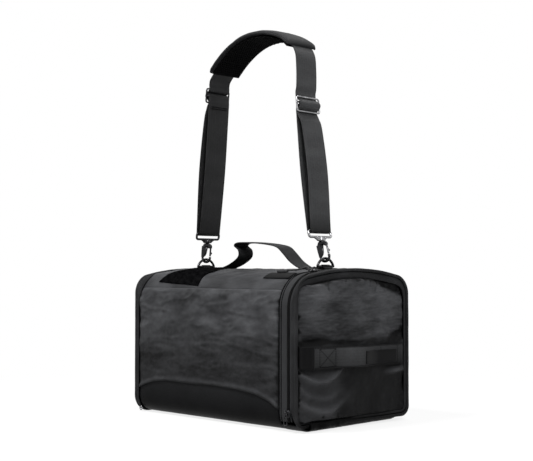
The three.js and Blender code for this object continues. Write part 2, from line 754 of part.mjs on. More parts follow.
// ---- a small eyelet sewn into the plain end's lower front corner ----
function addCornerEyelet() {
  const profile = [];
  const sides = 8;
  for (let side = 0; side <= sides; side += 1) {
    const angle = (side / sides) * 2 * Math.PI;
    const radius = eyeletRadius + eyeletWire * Math.cos(angle);
    profile.push(new THREE.Vector2(radius, eyeletWire * Math.sin(angle)));
  }
  const eyelet = new THREE.LatheGeometry(profile, 16);
  eyelet.translate(-halfLength + eyeletInX, -halfWidth + eyeletInY, eyeletHeight);
  node('corner_eyelet', eyelet, darkMetal);
}

addShell();
addZip();
addFlap();
addFlapHandle();
addSliders();
addCarryHandle();
node('left_ring', ringGeometry(ringLeftX), darkMetal);
node('right_ring', ringGeometry(ringRightX), darkMetal);
node('left_ring_tab', tabLoopGeometry(ringLeftX), webbing);
node('right_ring_tab', tabLoopGeometry(ringRightX), webbing);
addHook('left', ringLeftX, leftHookLean);
addHook('right', ringRightX, rightHookLean);
addStrap();
node('left_glide', glideGeometry(leftBar, leftGlide), darkMetal);
node('right_glide', glideGeometry(rightBar, rightGlide), darkMetal);
addPatches();
addCornerEyelet();

export default bag;
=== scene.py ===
import math

import bpy
import numpy as np
from mathutils import Matrix, Vector, noise


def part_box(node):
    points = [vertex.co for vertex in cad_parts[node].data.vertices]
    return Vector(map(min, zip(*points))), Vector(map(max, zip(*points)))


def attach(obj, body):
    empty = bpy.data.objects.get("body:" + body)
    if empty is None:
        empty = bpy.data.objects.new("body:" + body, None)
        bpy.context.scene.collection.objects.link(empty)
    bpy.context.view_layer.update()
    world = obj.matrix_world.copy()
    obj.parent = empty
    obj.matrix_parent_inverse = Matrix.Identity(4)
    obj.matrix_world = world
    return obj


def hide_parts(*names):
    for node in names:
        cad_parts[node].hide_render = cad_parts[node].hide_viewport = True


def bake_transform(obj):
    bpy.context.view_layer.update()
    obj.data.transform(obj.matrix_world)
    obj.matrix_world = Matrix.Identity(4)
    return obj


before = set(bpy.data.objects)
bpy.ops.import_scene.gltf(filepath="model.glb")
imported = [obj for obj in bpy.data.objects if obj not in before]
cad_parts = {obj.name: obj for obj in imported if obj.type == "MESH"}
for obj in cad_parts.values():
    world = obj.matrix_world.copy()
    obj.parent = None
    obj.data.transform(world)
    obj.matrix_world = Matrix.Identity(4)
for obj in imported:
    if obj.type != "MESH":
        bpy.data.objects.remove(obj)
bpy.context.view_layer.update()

MM = 0.001

# ---- camera ----
# A long lens at the height of the bag's crown, turned to show the front and the zipped end, with the
# whole strap in view.
CAMERA_PLACE = (1.1328, -1.1529, 0.2160)
CAMERA_TURN = math.radians(44.55)
CAMERA_TILT = math.radians(2.035)
CAMERA_LENS = 73.17

bpy.ops.object.select_all(action="DESELECT")
bpy.ops.object.camera_add(location=CAMERA_PLACE, rotation=(math.pi / 2 + CAMERA_TILT, 0, CAMERA_TURN))
camera = bpy.context.object
camera.data.lens = CAMERA_LENS
bpy.context.scene.camera = camera

# ---- floor, world and lamps ----
# A white studio: a plain matt floor that keeps a faint shadow and glows white further out, a white
# surround, and three soft boxes above.
FLOOR_SIZE = 40.0
FLOOR_COLOUR = (0.86, 0.86, 0.86, 1)
WORLD_STRENGTH = 0.10


def new_node(tree, kind, inputs=None, **settings):
    made = tree.nodes.new(kind)
    for key, value in settings.items():
        setattr(made, key, value)
    for socket, value in (inputs or {}).items():
        if isinstance(value, bpy.types.NodeSocket):
            tree.links.new(value, made.inputs[socket])
        else:
            made.inputs[socket].default_value = value
    return made


def maths(tree, operation, a, b=0.0):
    return new_node(tree, "ShaderNodeMath", {0: a, 1: b}, operation=operation).outputs[0]


def seen_directly(tree):
    """One where the camera, a reflection or a see-through surface looks, and nought for lighting."""
    path = new_node(tree, "ShaderNodeLightPath").outputs
    seen = maths(tree, "MAXIMUM", path["Is Camera Ray"], path["Is Glossy Ray"])
    return maths(tree, "MAXIMUM", seen, path["Is Transmission Ray"])


bpy.ops.mesh.primitive_plane_add(size=FLOOR_SIZE, location=(0, 0, -0.0004))
floor = bpy.context.object
floor.name = "studio_floor"
floor_paint = bpy.data.materials.new("studio_floor_paint")
floor_paint.use_nodes = True
tree = floor_paint.node_tree
tree.nodes.clear()
matte = new_node(tree, "ShaderNodeBsdfDiffuse", {"Color": FLOOR_COLOUR})
glow = new_node(tree, "ShaderNodeEmission", {"Color": (1, 1, 1, 1), "Strength": 1.0})
place = new_node(tree, "ShaderNodeTexCoord").outputs["Object"]
far = new_node(tree, "ShaderNodeVectorMath", {0: place}, operation="LENGTH").outputs["Value"]
glow_share = new_node(tree, "ShaderNodeMapRange", {"Value": far, "From Min": 0.25, "From Max": 0.75,
    "To Min": 0.80, "To Max": 1.0}, interpolation_type="SMOOTHSTEP")
share = maths(tree, "MULTIPLY", seen_directly(tree), glow_share.outputs[0])
mixed = new_node(tree, "ShaderNodeMixShader", {0: share, 1: matte.outputs[0],
    2: glow.outputs[0]})
new_node(tree, "ShaderNodeOutputMaterial", {"Surface": mixed.outputs[0]})
floor.data.materials.append(floor_paint)

world = bpy.data.worlds.new("white_studio")
world.use_nodes = True
tree = world.node_tree
tree.nodes.clear()
level = new_node(tree, "ShaderNodeMapRange", {"Value": seen_directly(tree), "To Min": WORLD_STRENGTH,
    "To Max": 1.0})
backdrop = new_node(tree, "ShaderNodeBackground", {"Color": (1, 1, 1, 1), "Strength": level.outputs[0]})
new_node(tree, "ShaderNodeOutputWorld", {"Surface": backdrop.outputs[0]})
bpy.context.scene.world = world


def soft_box(name, place, aim, size, power):
    bpy.ops.object.light_add(type="AREA", location=place)
    lamp = bpy.context.object
    lamp.name = name
    lamp.data.shape = "RECTANGLE"
    lamp.data.size = size[0]
    lamp.data.size_y = size[1]
    lamp.data.energy = power
    lamp.rotation_euler = (Vector(aim) - Vector(place)).to_track_quat("-Z", "Y").to_euler()


soft_box("key_box", (-0.5, -1.3, 2.1), (0, 0, 0.12), (0.7, 0.7), 60)
soft_box("end_box", (1.7, -0.9, 1.5), (0.15, 0, 0.15), (0.6, 0.6), 34)
soft_box("top_box", (0.2, 0.7, 2.2), (0, 0, 0.1), (1.2, 1.2), 30)
bpy.context.scene.view_settings.view_transform = "Standard"

# ---- body cloth ----
# The bag's walls are sewn from a coated woven polyester. The pieces meet in lapped seams, and the
# cloth is a little slack between them, so it puffs and crumples instead of lying flat.
TOP_LOW, TOP_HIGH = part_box("top_panel")
END_X = TOP_LOW.x
ZIP_SEAM_X = TOP_HIGH.x
HALF_WIDTH = -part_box("front_panel")[0].y
CROWN_TOP = TOP_HIGH.z
TOP_CORNER = 48 * MM
BOTTOM_CORNER = 24 * MM
CROWN_RADIUS = 420 * MM
SHOULDER_Z = TOP_LOW.z
CLOTH_THICK = 1.1 * MM
# The tone attribute paints light and shade into a toned material's colour, scaling it from DULLEST to
# BRIGHTEST; EVEN_TONE leaves the colour as it is.
EVEN_TONE = 0.46
DULLEST, BRIGHTEST = 0.15, 2.0


def outline(foot=0.0, foot_corner=BOTTOM_CORNER, top_corner=TOP_CORNER):
    """The cross-section from the bottom's middle, up the front, over the crown and down the back:
    length along it, y, z, and the outward normal's y and z, one step a millimetre."""
    corner_y = HALF_WIDTH - top_corner
    crown_z = CROWN_TOP - CROWN_RADIUS
    corner_z = crown_z + math.sqrt((CROWN_RADIUS - top_corner) ** 2 - corner_y**2)
    crown_turn = math.atan2(corner_z - crown_z, corner_y)
    foot_y = HALF_WIDTH - foot_corner
    foot_z = foot + foot_corner
    arcs = [(-foot_y, foot_z, foot_corner, -0.5 * math.pi, -math.pi),
        (-corner_y, corner_z, top_corner, math.pi, math.pi - crown_turn),
        (0, crown_z, CROWN_RADIUS, math.pi - crown_turn, crown_turn),
        (corner_y, corner_z, top_corner, crown_turn, 0), (foot_y, foot_z, foot_corner, 0, -0.5 * math.pi)]
    rows = [(0, foot, 0, -1)]
    for y, z, radius, start, end in arcs:
        for turn in np.linspace(start, end, 24):
            c, s = math.cos(turn), math.sin(turn)
            rows.append((y + radius * c, z + radius * s, c, s))
    rows.append((0, foot, 0, -1))
    rows = np.array(rows)
    length = np.concatenate([[0], np.cumsum(np.hypot(*np.diff(rows[:, :2], axis=0).T))])
    even = np.linspace(0, length[-1], int(length[-1] / MM) + 1)
    return np.array([even] + [np.interp(even, length, rows[:, k]) for k in range(4)])


BODY = outline()
BODY_ROUND = BODY[0, -1]


def around(section, s, x, lift):
    """Points at length s round a section and place x, stood off outwards by lift; all are arrays."""
    s, x, lift = np.broadcast_arrays(s, x, lift)
    y, z, out_y, out_z = (np.interp(s, section[0], section[k]) for k in range(1, 5))
    return stacked(x, y + out_y * lift, z + out_z * lift)


def climb(section, height):
    """Length round the section at which its front reaches a height."""
    front = section[:, : section.shape[1] // 2]
    return np.interp(height, front[2], front[0])


def unit(vectors):
    return vectors / np.linalg.norm(vectors, axis=-1, keepdims=True)


def bounded(value):
    """A number, or each of many, held between 0 and 1."""
    return np.clip(value, 0, 1)


def stacked(*parts):
    """Points, from their coordinates."""
    return np.stack(parts, axis=-1)


def spread(start, end, columns, low, high, rows):
    """Two even grids of numbers: one runs along the columns, the other along the rows."""
    return np.meshgrid(np.linspace(start, end, columns), np.linspace(low, high, rows))


def bell(value, middle, half, power=2):
    """One at a middle, fading to nought over a half width."""
    return np.exp(-(((value - middle) / half) ** power))


def past(value, place, width):
    """Nought well before a place and one well past it; a negative width turns that round."""
    return 1 / (1 + np.exp((place - value) / width))


def grid_piece(name, points, closed=False, ring=False, flip=False):
    """A primitive grid with its corners moved to points[row][column]. closed joins the first column
    to the last, ring the first row to the last; an open tube's ends are filled. Its UVs are metres."""
    rows, columns = points.shape[:2]
    bpy.ops.object.select_all(action="DESELECT")
    bpy.ops.mesh.primitive_grid_add(x_subdivisions=columns - 1, y_subdivisions=rows - 1, calc_uvs=True)
    piece = bpy.context.object
    piece.name = name
    piece.data.name = name
    piece.data.vertices.foreach_set("co", points.astype(np.float32).ravel())
    across = np.linalg.norm(np.diff(points, axis=1), axis=2).sum(axis=1).mean()
    along = np.linalg.norm(np.diff(points, axis=0), axis=2).sum(axis=0).mean()
    layer = piece.data.uv_layers[0].data
    flat = np.zeros(len(layer) * 2, np.float32)
    layer.foreach_get("uv", flat)
    layer.foreach_set("uv", (flat.reshape(-1, 2) * (across, along)).astype(np.float32).ravel())
    bpy.ops.object.mode_set(mode="EDIT")
    bpy.ops.mesh.select_all(action="SELECT")
    if closed or ring:
        bpy.ops.mesh.remove_doubles(threshold=0.002 * MM)
    if closed and not ring:
        bpy.ops.mesh.fill_holes(sides=0)
    if closed:
        bpy.ops.mesh.normals_make_consistent(inside=False)
    elif flip:
        bpy.ops.mesh.flip_normals()
    bpy.ops.object.mode_set(mode="OBJECT")
    bpy.ops.object.shade_smooth()
    return piece


def set_tone(piece, tone):
    """Gives a sheet its tone, painted light and shade: from 0 for the painted shade of dull cloth
    to 1 for the painted sheen of stretched, lit cloth.
    """
    layer = piece.data.attributes.new("tone", "FLOAT", "POINT")
    count = len(piece.data.vertices)
    layer.data.foreach_set("value", np.broadcast_to(np.ravel(tone), (count,)).astype(np.float32))


def corners_of(piece):
    """A piece's corners, one row each, in metres."""
    corners = np.zeros(len(piece.data.vertices) * 3, np.float32)
    piece.data.vertices.foreach_get("co", corners)
    return corners.reshape(-1, 3)


def thicken(piece, thickness):
    """Gives a sheet its thickness, inwards."""
    bpy.context.view_layer.objects.active = piece
    wall = piece.modifiers.new("wall", "SOLIDIFY")
    wall.thickness = thickness
    wall.offset = -1
    bpy.ops.object.modifier_apply(modifier="wall")


def crumple(a, b, size, seed, octaves=3):
    """Cloudy creases between about -1 and 1 at places a and b; size is their spacing."""
    values = np.array([noise.fractal(Vector((p / size, q / size, seed)), 1.0, 2.1, octaves) for p,
        q in zip(np.ravel(a), np.ravel(b))])
    return values.reshape(np.shape(a))


def ridges(a, b, size, seed):
    """Sharp-crested creases from 0 to 1."""
    return (1 - np.abs(crumple(a, b, size, seed, 2))) ** 3


def group_nodes(name, inputs, outputs):
    made = bpy.data.node_groups.new(name, "ShaderNodeTree")
    for label, kind in inputs:
        made.interface.new_socket(label, in_out="INPUT", socket_type=kind)
    for label, kind in outputs:
        made.interface.new_socket(label, in_out="OUTPUT", socket_type=kind)
    return made, made.nodes.new("NodeGroupInput").outputs, made.nodes.new("NodeGroupOutput").inputs


# Threads over and under each other, at a pitch across and along the cloth
WEAVE, given, result = group_nodes("woven_threads", [("Vector", "NodeSocketVector"),
    ("Across", "NodeSocketFloat"), ("Along", "NodeSocketFloat"), ("Slant", "NodeSocketFloat")],
    [("Height", "NodeSocketFloat")])
axes = new_node(WEAVE, "ShaderNodeSeparateXYZ", {0: given["Vector"]}).outputs
turn_across = maths(WEAVE, "MULTIPLY", maths(WEAVE, "DIVIDE", axes[0], given["Across"]), 2 * math.pi)
turn_along = maths(WEAVE, "MULTIPLY", maths(WEAVE, "DIVIDE", axes[1], given["Along"]), 2 * math.pi)
slanted = maths(WEAVE, "ADD", turn_along, maths(WEAVE, "MULTIPLY", turn_across, given["Slant"]))
woven = maths(WEAVE, "MULTIPLY", maths(WEAVE, "SINE", turn_across), maths(WEAVE, "SINE", slanted))
WEAVE.links.new(maths(WEAVE, "MULTIPLY_ADD", woven, 0.5), result["Height"])

# Colour and roughness that drift over a surface, with a fine speckle on top
DRIFT, given, result = group_nodes("uneven_surface", [("Vector", "NodeSocketVector"),
    ("Patch Size", "NodeSocketFloat"), ("Speckle Size", "NodeSocketFloat"), ("Dark", "NodeSocketColor"),
    ("Light", "NodeSocketColor"), ("Smooth", "NodeSocketFloat"), ("Rough", "NodeSocketFloat")],
    [("Colour", "NodeSocketColor"), ("Roughness", "NodeSocketFloat"), ("Speckle", "NodeSocketFloat")])
patch = new_node(DRIFT, "ShaderNodeTexNoise", {"Vector": given["Vector"],
    "Scale": maths(DRIFT, "DIVIDE", 1.0, given["Patch Size"]), "Detail": 4.0}).outputs[0]
speckle = new_node(DRIFT, "ShaderNodeTexNoise", {"Vector": given["Vector"],
    "Scale": maths(DRIFT, "DIVIDE", 1.0, given["Speckle Size"]), "Detail": 1.0}).outputs[0]
both = maths(DRIFT, "MULTIPLY_ADD", patch, 0.6)
DRIFT.nodes[-1].inputs[2].default_value = 0.0
both = maths(DRIFT, "ADD", both, maths(DRIFT, "MULTIPLY", speckle, 0.4))
even = new_node(DRIFT, "ShaderNodeMapRange", {"Value": both, "From Min": 0.32, "From Max": 0.68}).outputs[0]
tint = new_node(DRIFT, "ShaderNodeMix", {"Factor": even, "A": given["Dark"], "B": given["Light"]},
    data_type="RGBA")
DRIFT.links.new(tint.outputs["Result"], result["Colour"])
span = new_node(DRIFT, "ShaderNodeMapRange", {"Value": even, "To Min": given["Smooth"],
    "To Max": given["Rough"]}).outputs[0]
DRIFT.links.new(span, result["Roughness"])
DRIFT.links.new(speckle, result["Speckle"])


def finish_of(name, dark, light, smooth, rough, patch, speckle, threads=None, relief=0.0, grain=0.0,
              specular=0.5, metallic=0.0, place="UV", toned=False):
    """A material whose colour and roughness drift between two values, with a grain and a thread
    pattern in its relief. Sizes are millimetres, threads is (across, along, slant), and toned lets
    the tone attribute, painted light and shade, scale the colour."""
    made = bpy.data.materials.new(name)
    made.use_nodes = True
    nodes = made.node_tree
    shader = nodes.nodes["Principled BSDF"]
    shader.inputs["Specular IOR Level"].default_value = specular
    shader.inputs["Metallic"].default_value = metallic
    where = new_node(nodes, "ShaderNodeTexCoord").outputs[place]
    drift = new_node(nodes, "ShaderNodeGroup", node_tree=DRIFT)
    nodes.links.new(where, drift.inputs["Vector"])
    for socket, value in (("Patch Size", patch * MM), ("Speckle Size", speckle * MM), ("Dark", (*dark, 1)),
                          ("Light", (*light, 1)), ("Smooth", smooth), ("Rough", rough)):
        drift.inputs[socket].default_value = value
    colour = drift.outputs["Colour"]
    if toned:
        tone = new_node(nodes, "ShaderNodeAttribute", attribute_name="tone").outputs["Fac"]
        scale = new_node(nodes, "ShaderNodeMapRange", {"Value": tone, "To Min": DULLEST,
            "To Max": BRIGHTEST}, clamp=False)
        scaled = new_node(nodes, "ShaderNodeVectorMath", {0: colour, "Scale": scale.outputs[0]},
            operation="SCALE")
        colour = scaled.outputs[0]
    nodes.links.new(colour, shader.inputs["Base Color"])
    nodes.links.new(drift.outputs["Roughness"], shader.inputs["Roughness"])
    bump = new_node(nodes, "ShaderNodeBump", {"Height": drift.outputs["Speckle"], "Distance": grain * MM})
    if threads:
        across, along, slant = threads
        weave = new_node(nodes, "ShaderNodeGroup", {"Vector": where}, node_tree=WEAVE)
        for socket, value in (("Across", across * MM), ("Along", along * MM), ("Slant", slant)):
            weave.inputs[socket].default_value = value
        bump = new_node(nodes, "ShaderNodeBump", {"Height": weave.outputs["Height"],
            "Distance": relief * MM, "Normal": bump.outputs[0]})
    nodes.links.new(bump.outputs[0], shader.inputs["Normal"])
    return made


BODY_CLOTH = finish_of("coated_woven_cloth", (0.015, 0.0153, 0.0165), (0.027, 0.0275, 0.029), 0.42, 0.62,
    34, 1.6, (1.1, 1.3, 0.0), 0.14, 0.12, specular=0.06, toned=True)


def dress(piece, material, slot, body, *nodes):
    """Gives a piece its material, lets it ride on a body and stand for the CAD nodes; slot is not used."""
    if "tone" not in piece.data.attributes:
        set_tone(piece, EVEN_TONE)
    piece.data.materials.clear()
    piece.data.materials.append(material)
    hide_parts(*nodes)
    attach(piece, body)


def rounded(half_a, half_b, count, power=2.6):
    """A closed outline between an ellipse and a rectangle; its last point is its first."""
    turn = np.linspace(0, 2 * math.pi, count + 1)
    c, s = np.cos(turn), np.sin(turn)
    a = half_a * np.sign(c) * np.abs(c) ** (2 / power)
    b = half_b * np.sign(s) * np.abs(s) ** (2 / power)
    points = stacked(a, b)
    points[-1] = points[0]
    return points


def tube(name, path, side, out, girth, sides, ring=False):
    """A round tube along a path; side and out are its directions and girth its radius, point by point."""
    across, up = (profile[:, None] for profile in rounded(1.0, 1.0, sides, 2.0).T)
    points = path[:, None] + girth * (side[:, None] * across + out[:, None] * up)
    if ring:
        points[-1] = points[0]
    return grid_piece(name, points, closed=True, ring=ring)


def sheet(name, points, thickness, tone, material, slot, body, *nodes, flip=False):
    """A sewn sheet, made from the points of its outer face, toned, thickened and dressed."""
    piece = grid_piece(name, points, flip=flip)
    set_tone(piece, tone)
    thicken(piece, thickness)
    dress(piece, material, slot, body, *nodes)
    return piece


CELL = 2.0 * MM
WALL_COLUMNS = int((ZIP_SEAM_X - END_X) / CELL) + 1
WALL_LAP = 1.5 * MM
RIDGE_PLACES = [-166, -146, -126, -101, -51, -1, 49, 86, 111, 124, 130]
RIDGE_HEIGHTS = [38, 45, 50, 52.5, 52, 53, 51, 47.5, 40, 33, 30]


def fold_height(x):
    """Height of the soft fold where the walls stand on the stiff tray."""
    return np.interp(x / MM, RIDGE_PLACES, RIDGE_HEIGHTS) * MM


def wall_lift(x, climbed, share, seed):
    """How far a side wall stands out: puffed between its seams, crumpled, and turned in at its edges."""
    run = (x - END_X) / (ZIP_SEAM_X - END_X)
    puff = 3.0 * MM * np.sin(np.pi * bounded(run)) ** 0.6 * np.sin(np.pi * bounded(share)) ** 0.7
    slack = (0.3 + 0.7 * share) * bounded((1 - share) * 12)
    cloudy = 2.2 * MM * slack * crumple(x * 0.7, climbed * 1.5, 40 * MM, seed)
    creased = 1.6 * MM * slack * ridges(x * 0.55 + 0.2 * climbed, climbed * 1.9, 34 * MM, seed + 3.7)
    streaks = 0.30 * MM * bell(share, 0.42, 0.16) * crumple(x, climbed * 0.12, 4.2 * MM, seed + 9.1, 1)
    edge = np.minimum(x - END_X, ZIP_SEAM_X - x)
    gather = crumple(x * 0, climbed, 9 * MM, seed + 5.0, 1)
    tuck = -2.2 * MM * np.exp(-edge / (2.2 * MM)) - 1.0 * MM * np.exp(-edge / (7 * MM)) * gather
    return puff + cloudy + creased + streaks + tuck


def wall_painted_light(x, share, lift, seed):
    """Painted light and shade: bright and mottled above, duller below, painted highlights on lit
    crests and slopes, level streaks, and painted shade in the seam puckers.
    """
    along = (x - END_X) / (ZIP_SEAM_X - END_X)
    tone = 0.26 + 0.44 * bounded((share - 0.30) / 0.35) + 0.16 * along * share
    tone = tone + 0.56 * (0.12 + 0.88 * share) * crumple(x * 0.55, share * 0.15, 24 * MM, seed, 3)
    tone = tone + 0.22 * (0.2 + 0.8 * share) * crumple(x * 0.8, share * 0.15, 6 * MM, seed + 2.2, 3)
    tone = tone + 0.14 * crumple(x * 0.5, share * 0.16, 1.7 * MM, seed + 6.2, 1)
    slope = np.gradient(lift, axis=0) / CELL
    tone = tone + np.clip(-0.9 * slope, -0.30, 0.30)
    edge = np.minimum(x - END_X, ZIP_SEAM_X - x)
    reach = (2.2 + 5.0 * bounded(crumple(x * 0, share * 0.15, 6 * MM, seed + 1.1, 2) + 0.1)) * MM
    return np.clip(tone - 0.75 * bell(edge, 0, reach), 0.0, 1.4)


def side_wall(name, node, seed, mirrored):
    """One long wall, from the fold over the tray up to the shoulder seam."""
    x, share = spread(END_X, ZIP_SEAM_X, WALL_COLUMNS, 0, 1, int((SHOULDER_Z - 0.03) / CELL))
    start = climb(BODY, fold_height(x)) - WALL_LAP
    climbed = start + (climb(BODY, SHOULDER_Z + WALL_LAP) - start) * share
    fold = 1.8 * MM * np.exp(-(((climbed - start) / (4 * MM) - 0.5) ** 2))
    seam = -0.2 * MM * np.exp(-(1 - share) * 60) - 0.9 * MM * bounded((share - 0.985) / 0.015)
    lift = wall_lift(x, climbed, share, seed) + fold + seam
    s = BODY_ROUND - climbed if mirrored else climbed
    # The fold's crest gets a painted highlight.
    tone = wall_painted_light(x, share, lift, seed) + 0.12 * fold / (1.8 * MM)
    sheet(name, around(BODY, s, x, lift), CLOTH_THICK, tone, BODY_CLOTH, "body_fabric", "bag", node,
        flip=mirrored)


side_wall("front_wall", "front_panel", 1.3, False)
side_wall("back_wall", "back_panel", 5.9, True)

# The top is pressed flat where the puller's grip lies on it
x, share = spread(END_X, ZIP_SEAM_X, WALL_COLUMNS, 0, 1, 120)
s = climb(BODY, SHOULDER_Z)
s = s + (BODY_ROUND - 2 * s) * share
from_seam = np.minimum(share, 1 - share)
creases = 1.8 * MM * crumple(x * 0.7, s * 1.4, 42 * MM, 2.2) + 1.0 * MM * ridges(x * 0.6, s * 1.6, 34 * MM,
    7.7)
lift = -0.2 * MM * np.exp(-from_seam * 90) + bounded(from_seam * 14) * creases
lift = lift - 1.5 * MM * np.exp(-np.minimum(x - END_X, ZIP_SEAM_X - x) / (1.6 * MM))
y = around(BODY, s, x, lift)[..., 1]
under_grip = bell(y / MM, -52, 52, 6) * bell(x / MM, 104, 34, 6)
lift = lift - under_grip * (np.maximum(lift, 0) + 0.5 * MM)
# The top's tone is higher than the walls': painted light where it faces up, with a mottle.
sheet("top_wall", around(BODY, s, x, lift), CLOTH_THICK, 0.72 + 0.5 * crumple(x * 0.6, s, 26 * MM, 3.4, 4),
    BODY_CLOTH, "body_fabric", "bag", "top_panel")

# ---- tray ----
# The bottom is one piece of smooth coated cloth, glossier than the walls. Its darker colour is
# partly the coated cloth's own and partly painted shade, as the bottom faces down and in. It turns
# up at both sides round a stiff board and is sewn to the walls inside a soft fold.
TRAY_THICK = 1.4 * MM
TRAY_COATED = finish_of("smooth_coated_cloth", (0.0042, 0.0043, 0.0046), (0.0085, 0.0087, 0.0093), 0.34,
    0.46, 60, 2.0, (0.9, 0.9, 0.0), 0.02, 0.03, specular=0.03, toned=True)

x, share = spread(END_X, ZIP_SEAM_X, 150, -1, 1, 161)
reach = climb(BODY, fold_height(x)) + 1.0 * MM
s = np.where(share < 0, BODY_ROUND + share * reach, share * reach)
lift = -0.9 * MM + 0.25 * MM * crumple(x, share * reach, 50 * MM, 4.4)
lift = lift - 1.4 * MM * np.exp(-np.minimum(x - END_X, ZIP_SEAM_X - x) / (1.6 * MM))
points = around(BODY, s, x, lift)
# Its tone is painted shade, darkest near the floor and lighter up the sides, with a slight mottle; it also
# lightens towards the zipped end.
tone = 0.04 + 0.62 * bounded((points[..., 2] / MM - 8) / 42) ** 1.2 + 0.06 * crumple(x, s, 30 * MM, 6.6)
tone = tone + 0.14 * bounded((x / MM - 60) / 70)
sheet("tray", points, TRAY_THICK, tone, TRAY_COATED, "coated_base", "bag", "base_panel")

# ---- rims ----
# Both ends are bound: a folded tape is sewn over the raw edges of wall and end panel, and stands up
# as a soft rounded rim all the way round.
RIM_TAPE = finish_of("binding_tape", (0.005, 0.0051, 0.0055), (0.017, 0.0173, 0.0183), 0.5, 0.68, 30, 1.2,
    (1.0, 0.8, 0.5), 0.10, 0.08, specular=0.08, toned=True)
FLAP_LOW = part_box("flap_binding")[0]
FLAP_BACK = outline(FLAP_LOW.z, 20 * MM)
FLAP_FOOT = 6.5 * MM
FLAP = outline(FLAP_FOOT, 14 * MM, 28 * MM)


def rim(name, section, x, half_width, lift, half_height, seed):
    """A rounded band all the way round a section; x, lift and half_height may be functions of y and z."""
    s = np.linspace(0, section[0, -1], 420)
    y, z = np.interp(s, section[0], section[1]), np.interp(s, section[0], section[2])
    x, lift, half_height = (np.broadcast_to(v(y, z) if callable(v) else v, s.shape)[:, None]
        for v in (x, lift, half_height))
    ripple = (0.25 * MM * crumple(s, s * 0, 22 * MM, seed, 2))[:, None]
    ripple[-1] = ripple[0]
    profile = rounded(1.0, 1.0, 18)
    place = x + profile[:, 0] * half_width + 0.5 * ripple
    stand = lift + profile[:, 1] * half_height + ripple
    points = around(section, s[:, None], place, stand)
    points[-1] = points[0]
    return grid_piece(name, points, closed=True, ring=True)


def joined(name, parts):
    """Several meshes made one, under one name."""
    bpy.ops.object.select_all(action="DESELECT")
    for part in parts:
        part.select_set(True)
    bpy.context.view_layer.objects.active = parts[0]
    bpy.ops.object.join()
    parts[0].name = name
    parts[0].data.name = name
    return parts[0]


def rim_band(name, inner, outer, x_inner, x_outer, seed, flip):
    """The soft strip between a wall's seam and a rim, from one section to another; x_outer is a
    function of y."""
    share = np.linspace(0, 1, 15)[:, None]
    step = np.linspace(0, 1, 420)[None, :]
    start = around(inner, step * inner[0, -1], 0, -0.6 * MM)[..., 1:]
    end = around(outer, step * outer[0, -1], 0, -0.9 * MM)[..., 1:]
    yz = start * (1 - share[..., None]) + end * share[..., None]
    x = x_inner + (x_outer(end[..., 0]) - x_inner) * share
    swell = np.sin(math.pi * share) * (0.8 + 0.9 * crumple(x, step * 0.8 + 0 * x, 19 * MM, seed, 2)) * MM
    yz = yz + unit(yz - (0, 108 * MM)) * swell[..., None]
    points = np.concatenate([x[..., None], yz], axis=-1)
    points[:, -1] = points[:, 0]
    made = grid_piece(name, points.swapaxes(0, 1), flip=flip)
    thicken(made, 1.0 * MM)
    return made


PLAIN_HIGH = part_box("plain_end_binding")[1]
PLAIN = outline(0, 25 * MM, 28 * MM)
plain_rim_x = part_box("plain_end_panel")[0].x + 2.6 * MM
plain_rim = joined("plain_end_rim", [rim_band("band", BODY, PLAIN, END_X - 0.6 * MM,
    lambda y: plain_rim_x + 1.5 * MM + 0 * y, 8.2, False), rim("piping", PLAIN, plain_rim_x, 2.5 * MM,
    -1.3 * MM, 2.4 * MM, 1.1), rim("bead", BODY, PLAIN_HIGH.x - 1.6 * MM, 1.0 * MM, -0.4 * MM, 1.2 * MM,
    2.3)])
corners = corners_of(plain_rim)
corners[:, 2] = np.maximum(corners[:, 2], 0)
plain_rim.data.vertices.foreach_set("co", corners.ravel())
dress(plain_rim, RIM_TAPE, "webbing", "bag", "plain_end_binding")

RIM_NEAR_X = 159.6 * MM
RIM_SKEW = 15.5 * MM


def rim_x(y, z=0):
    """The flap's front rim leans out towards its far side, where the soft band behind it is deeper."""
    return RIM_NEAR_X + RIM_SKEW * (y + HALF_WIDTH) / (2 * HALF_WIDTH)


def facing_depth(y, z):
    """How wide the binding's front facing is: broad along the top, a sliver down the near side."""
    high = bounded((z / MM - 170) / 35)
    out = bounded((y / MM + 108) / 20)
    return (2.6 + 3.4 * out + (3.2 + 1.8 * out) * high) * MM


flap_rim = joined("flap_rim", [rim_band("band", FLAP_BACK, FLAP, FLAP_LOW.x - 0.4 * MM,
    lambda y: rim_x(y) - 1.5 * MM, 6.6, True), rim("piping", FLAP, rim_x, 2.5 * MM, -1.0 * MM, 2.3 * MM,
    4.7), rim("facing", FLAP, lambda y, z: rim_x(y) - 0.6 * MM, 1.4 * MM, lambda y,
    z: -2.9 * MM - facing_depth(y, z) / 2, lambda y, z: facing_depth(y, z) / 2 - 0.9 * MM, 3.1)])
corners = corners_of(flap_rim) / MM
# The rim's tone paints shade near the floor, and darkens it towards the far side, over a random mottle.
low = bounded((corners[:, 2] - 7) / 12)
mottle = crumple(corners[:, 1], corners[:, 2], 40, 5.5, 2)
far_side = bounded((corners[:, 1] - 70) / 30)
set_tone(flap_rim, EVEN_TONE * (0.02 + 0.98 * low) * (1 + 0.55 * mottle) * (1 - 0.35 * far_side))
dress(flap_rim, RIM_TAPE, "webbing", "flap", "flap_binding")

# ---- zip ----
# Two woven tapes with a moulded coil on each facing edge run up the front, over the top and down the
# back. One tape is sewn to the walls and the other to the flap's rim.
ZIP_TAPE = finish_of("zip_tape", (0.0155, 0.016, 0.017), (0.025, 0.0255, 0.027), 0.5, 0.66, 25, 1.0,
    (0.8, 1.1, 1.0), 0.10, 0.06, specular=0.08)
COIL_NYLON = finish_of("coil_nylon", (0.0008, 0.0008, 0.0010), (0.003, 0.003, 0.0033), 0.34, 0.46, 12, 0.8,
    grain=0.02, specular=0.06)
TAPE_THICK = 0.9 * MM
COIL_PITCH = 1.9 * MM
ZIP_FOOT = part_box("body_zip_tape")[0].z
zip_start = climb(BODY, ZIP_FOOT)
zip_end = BODY_ROUND - zip_start


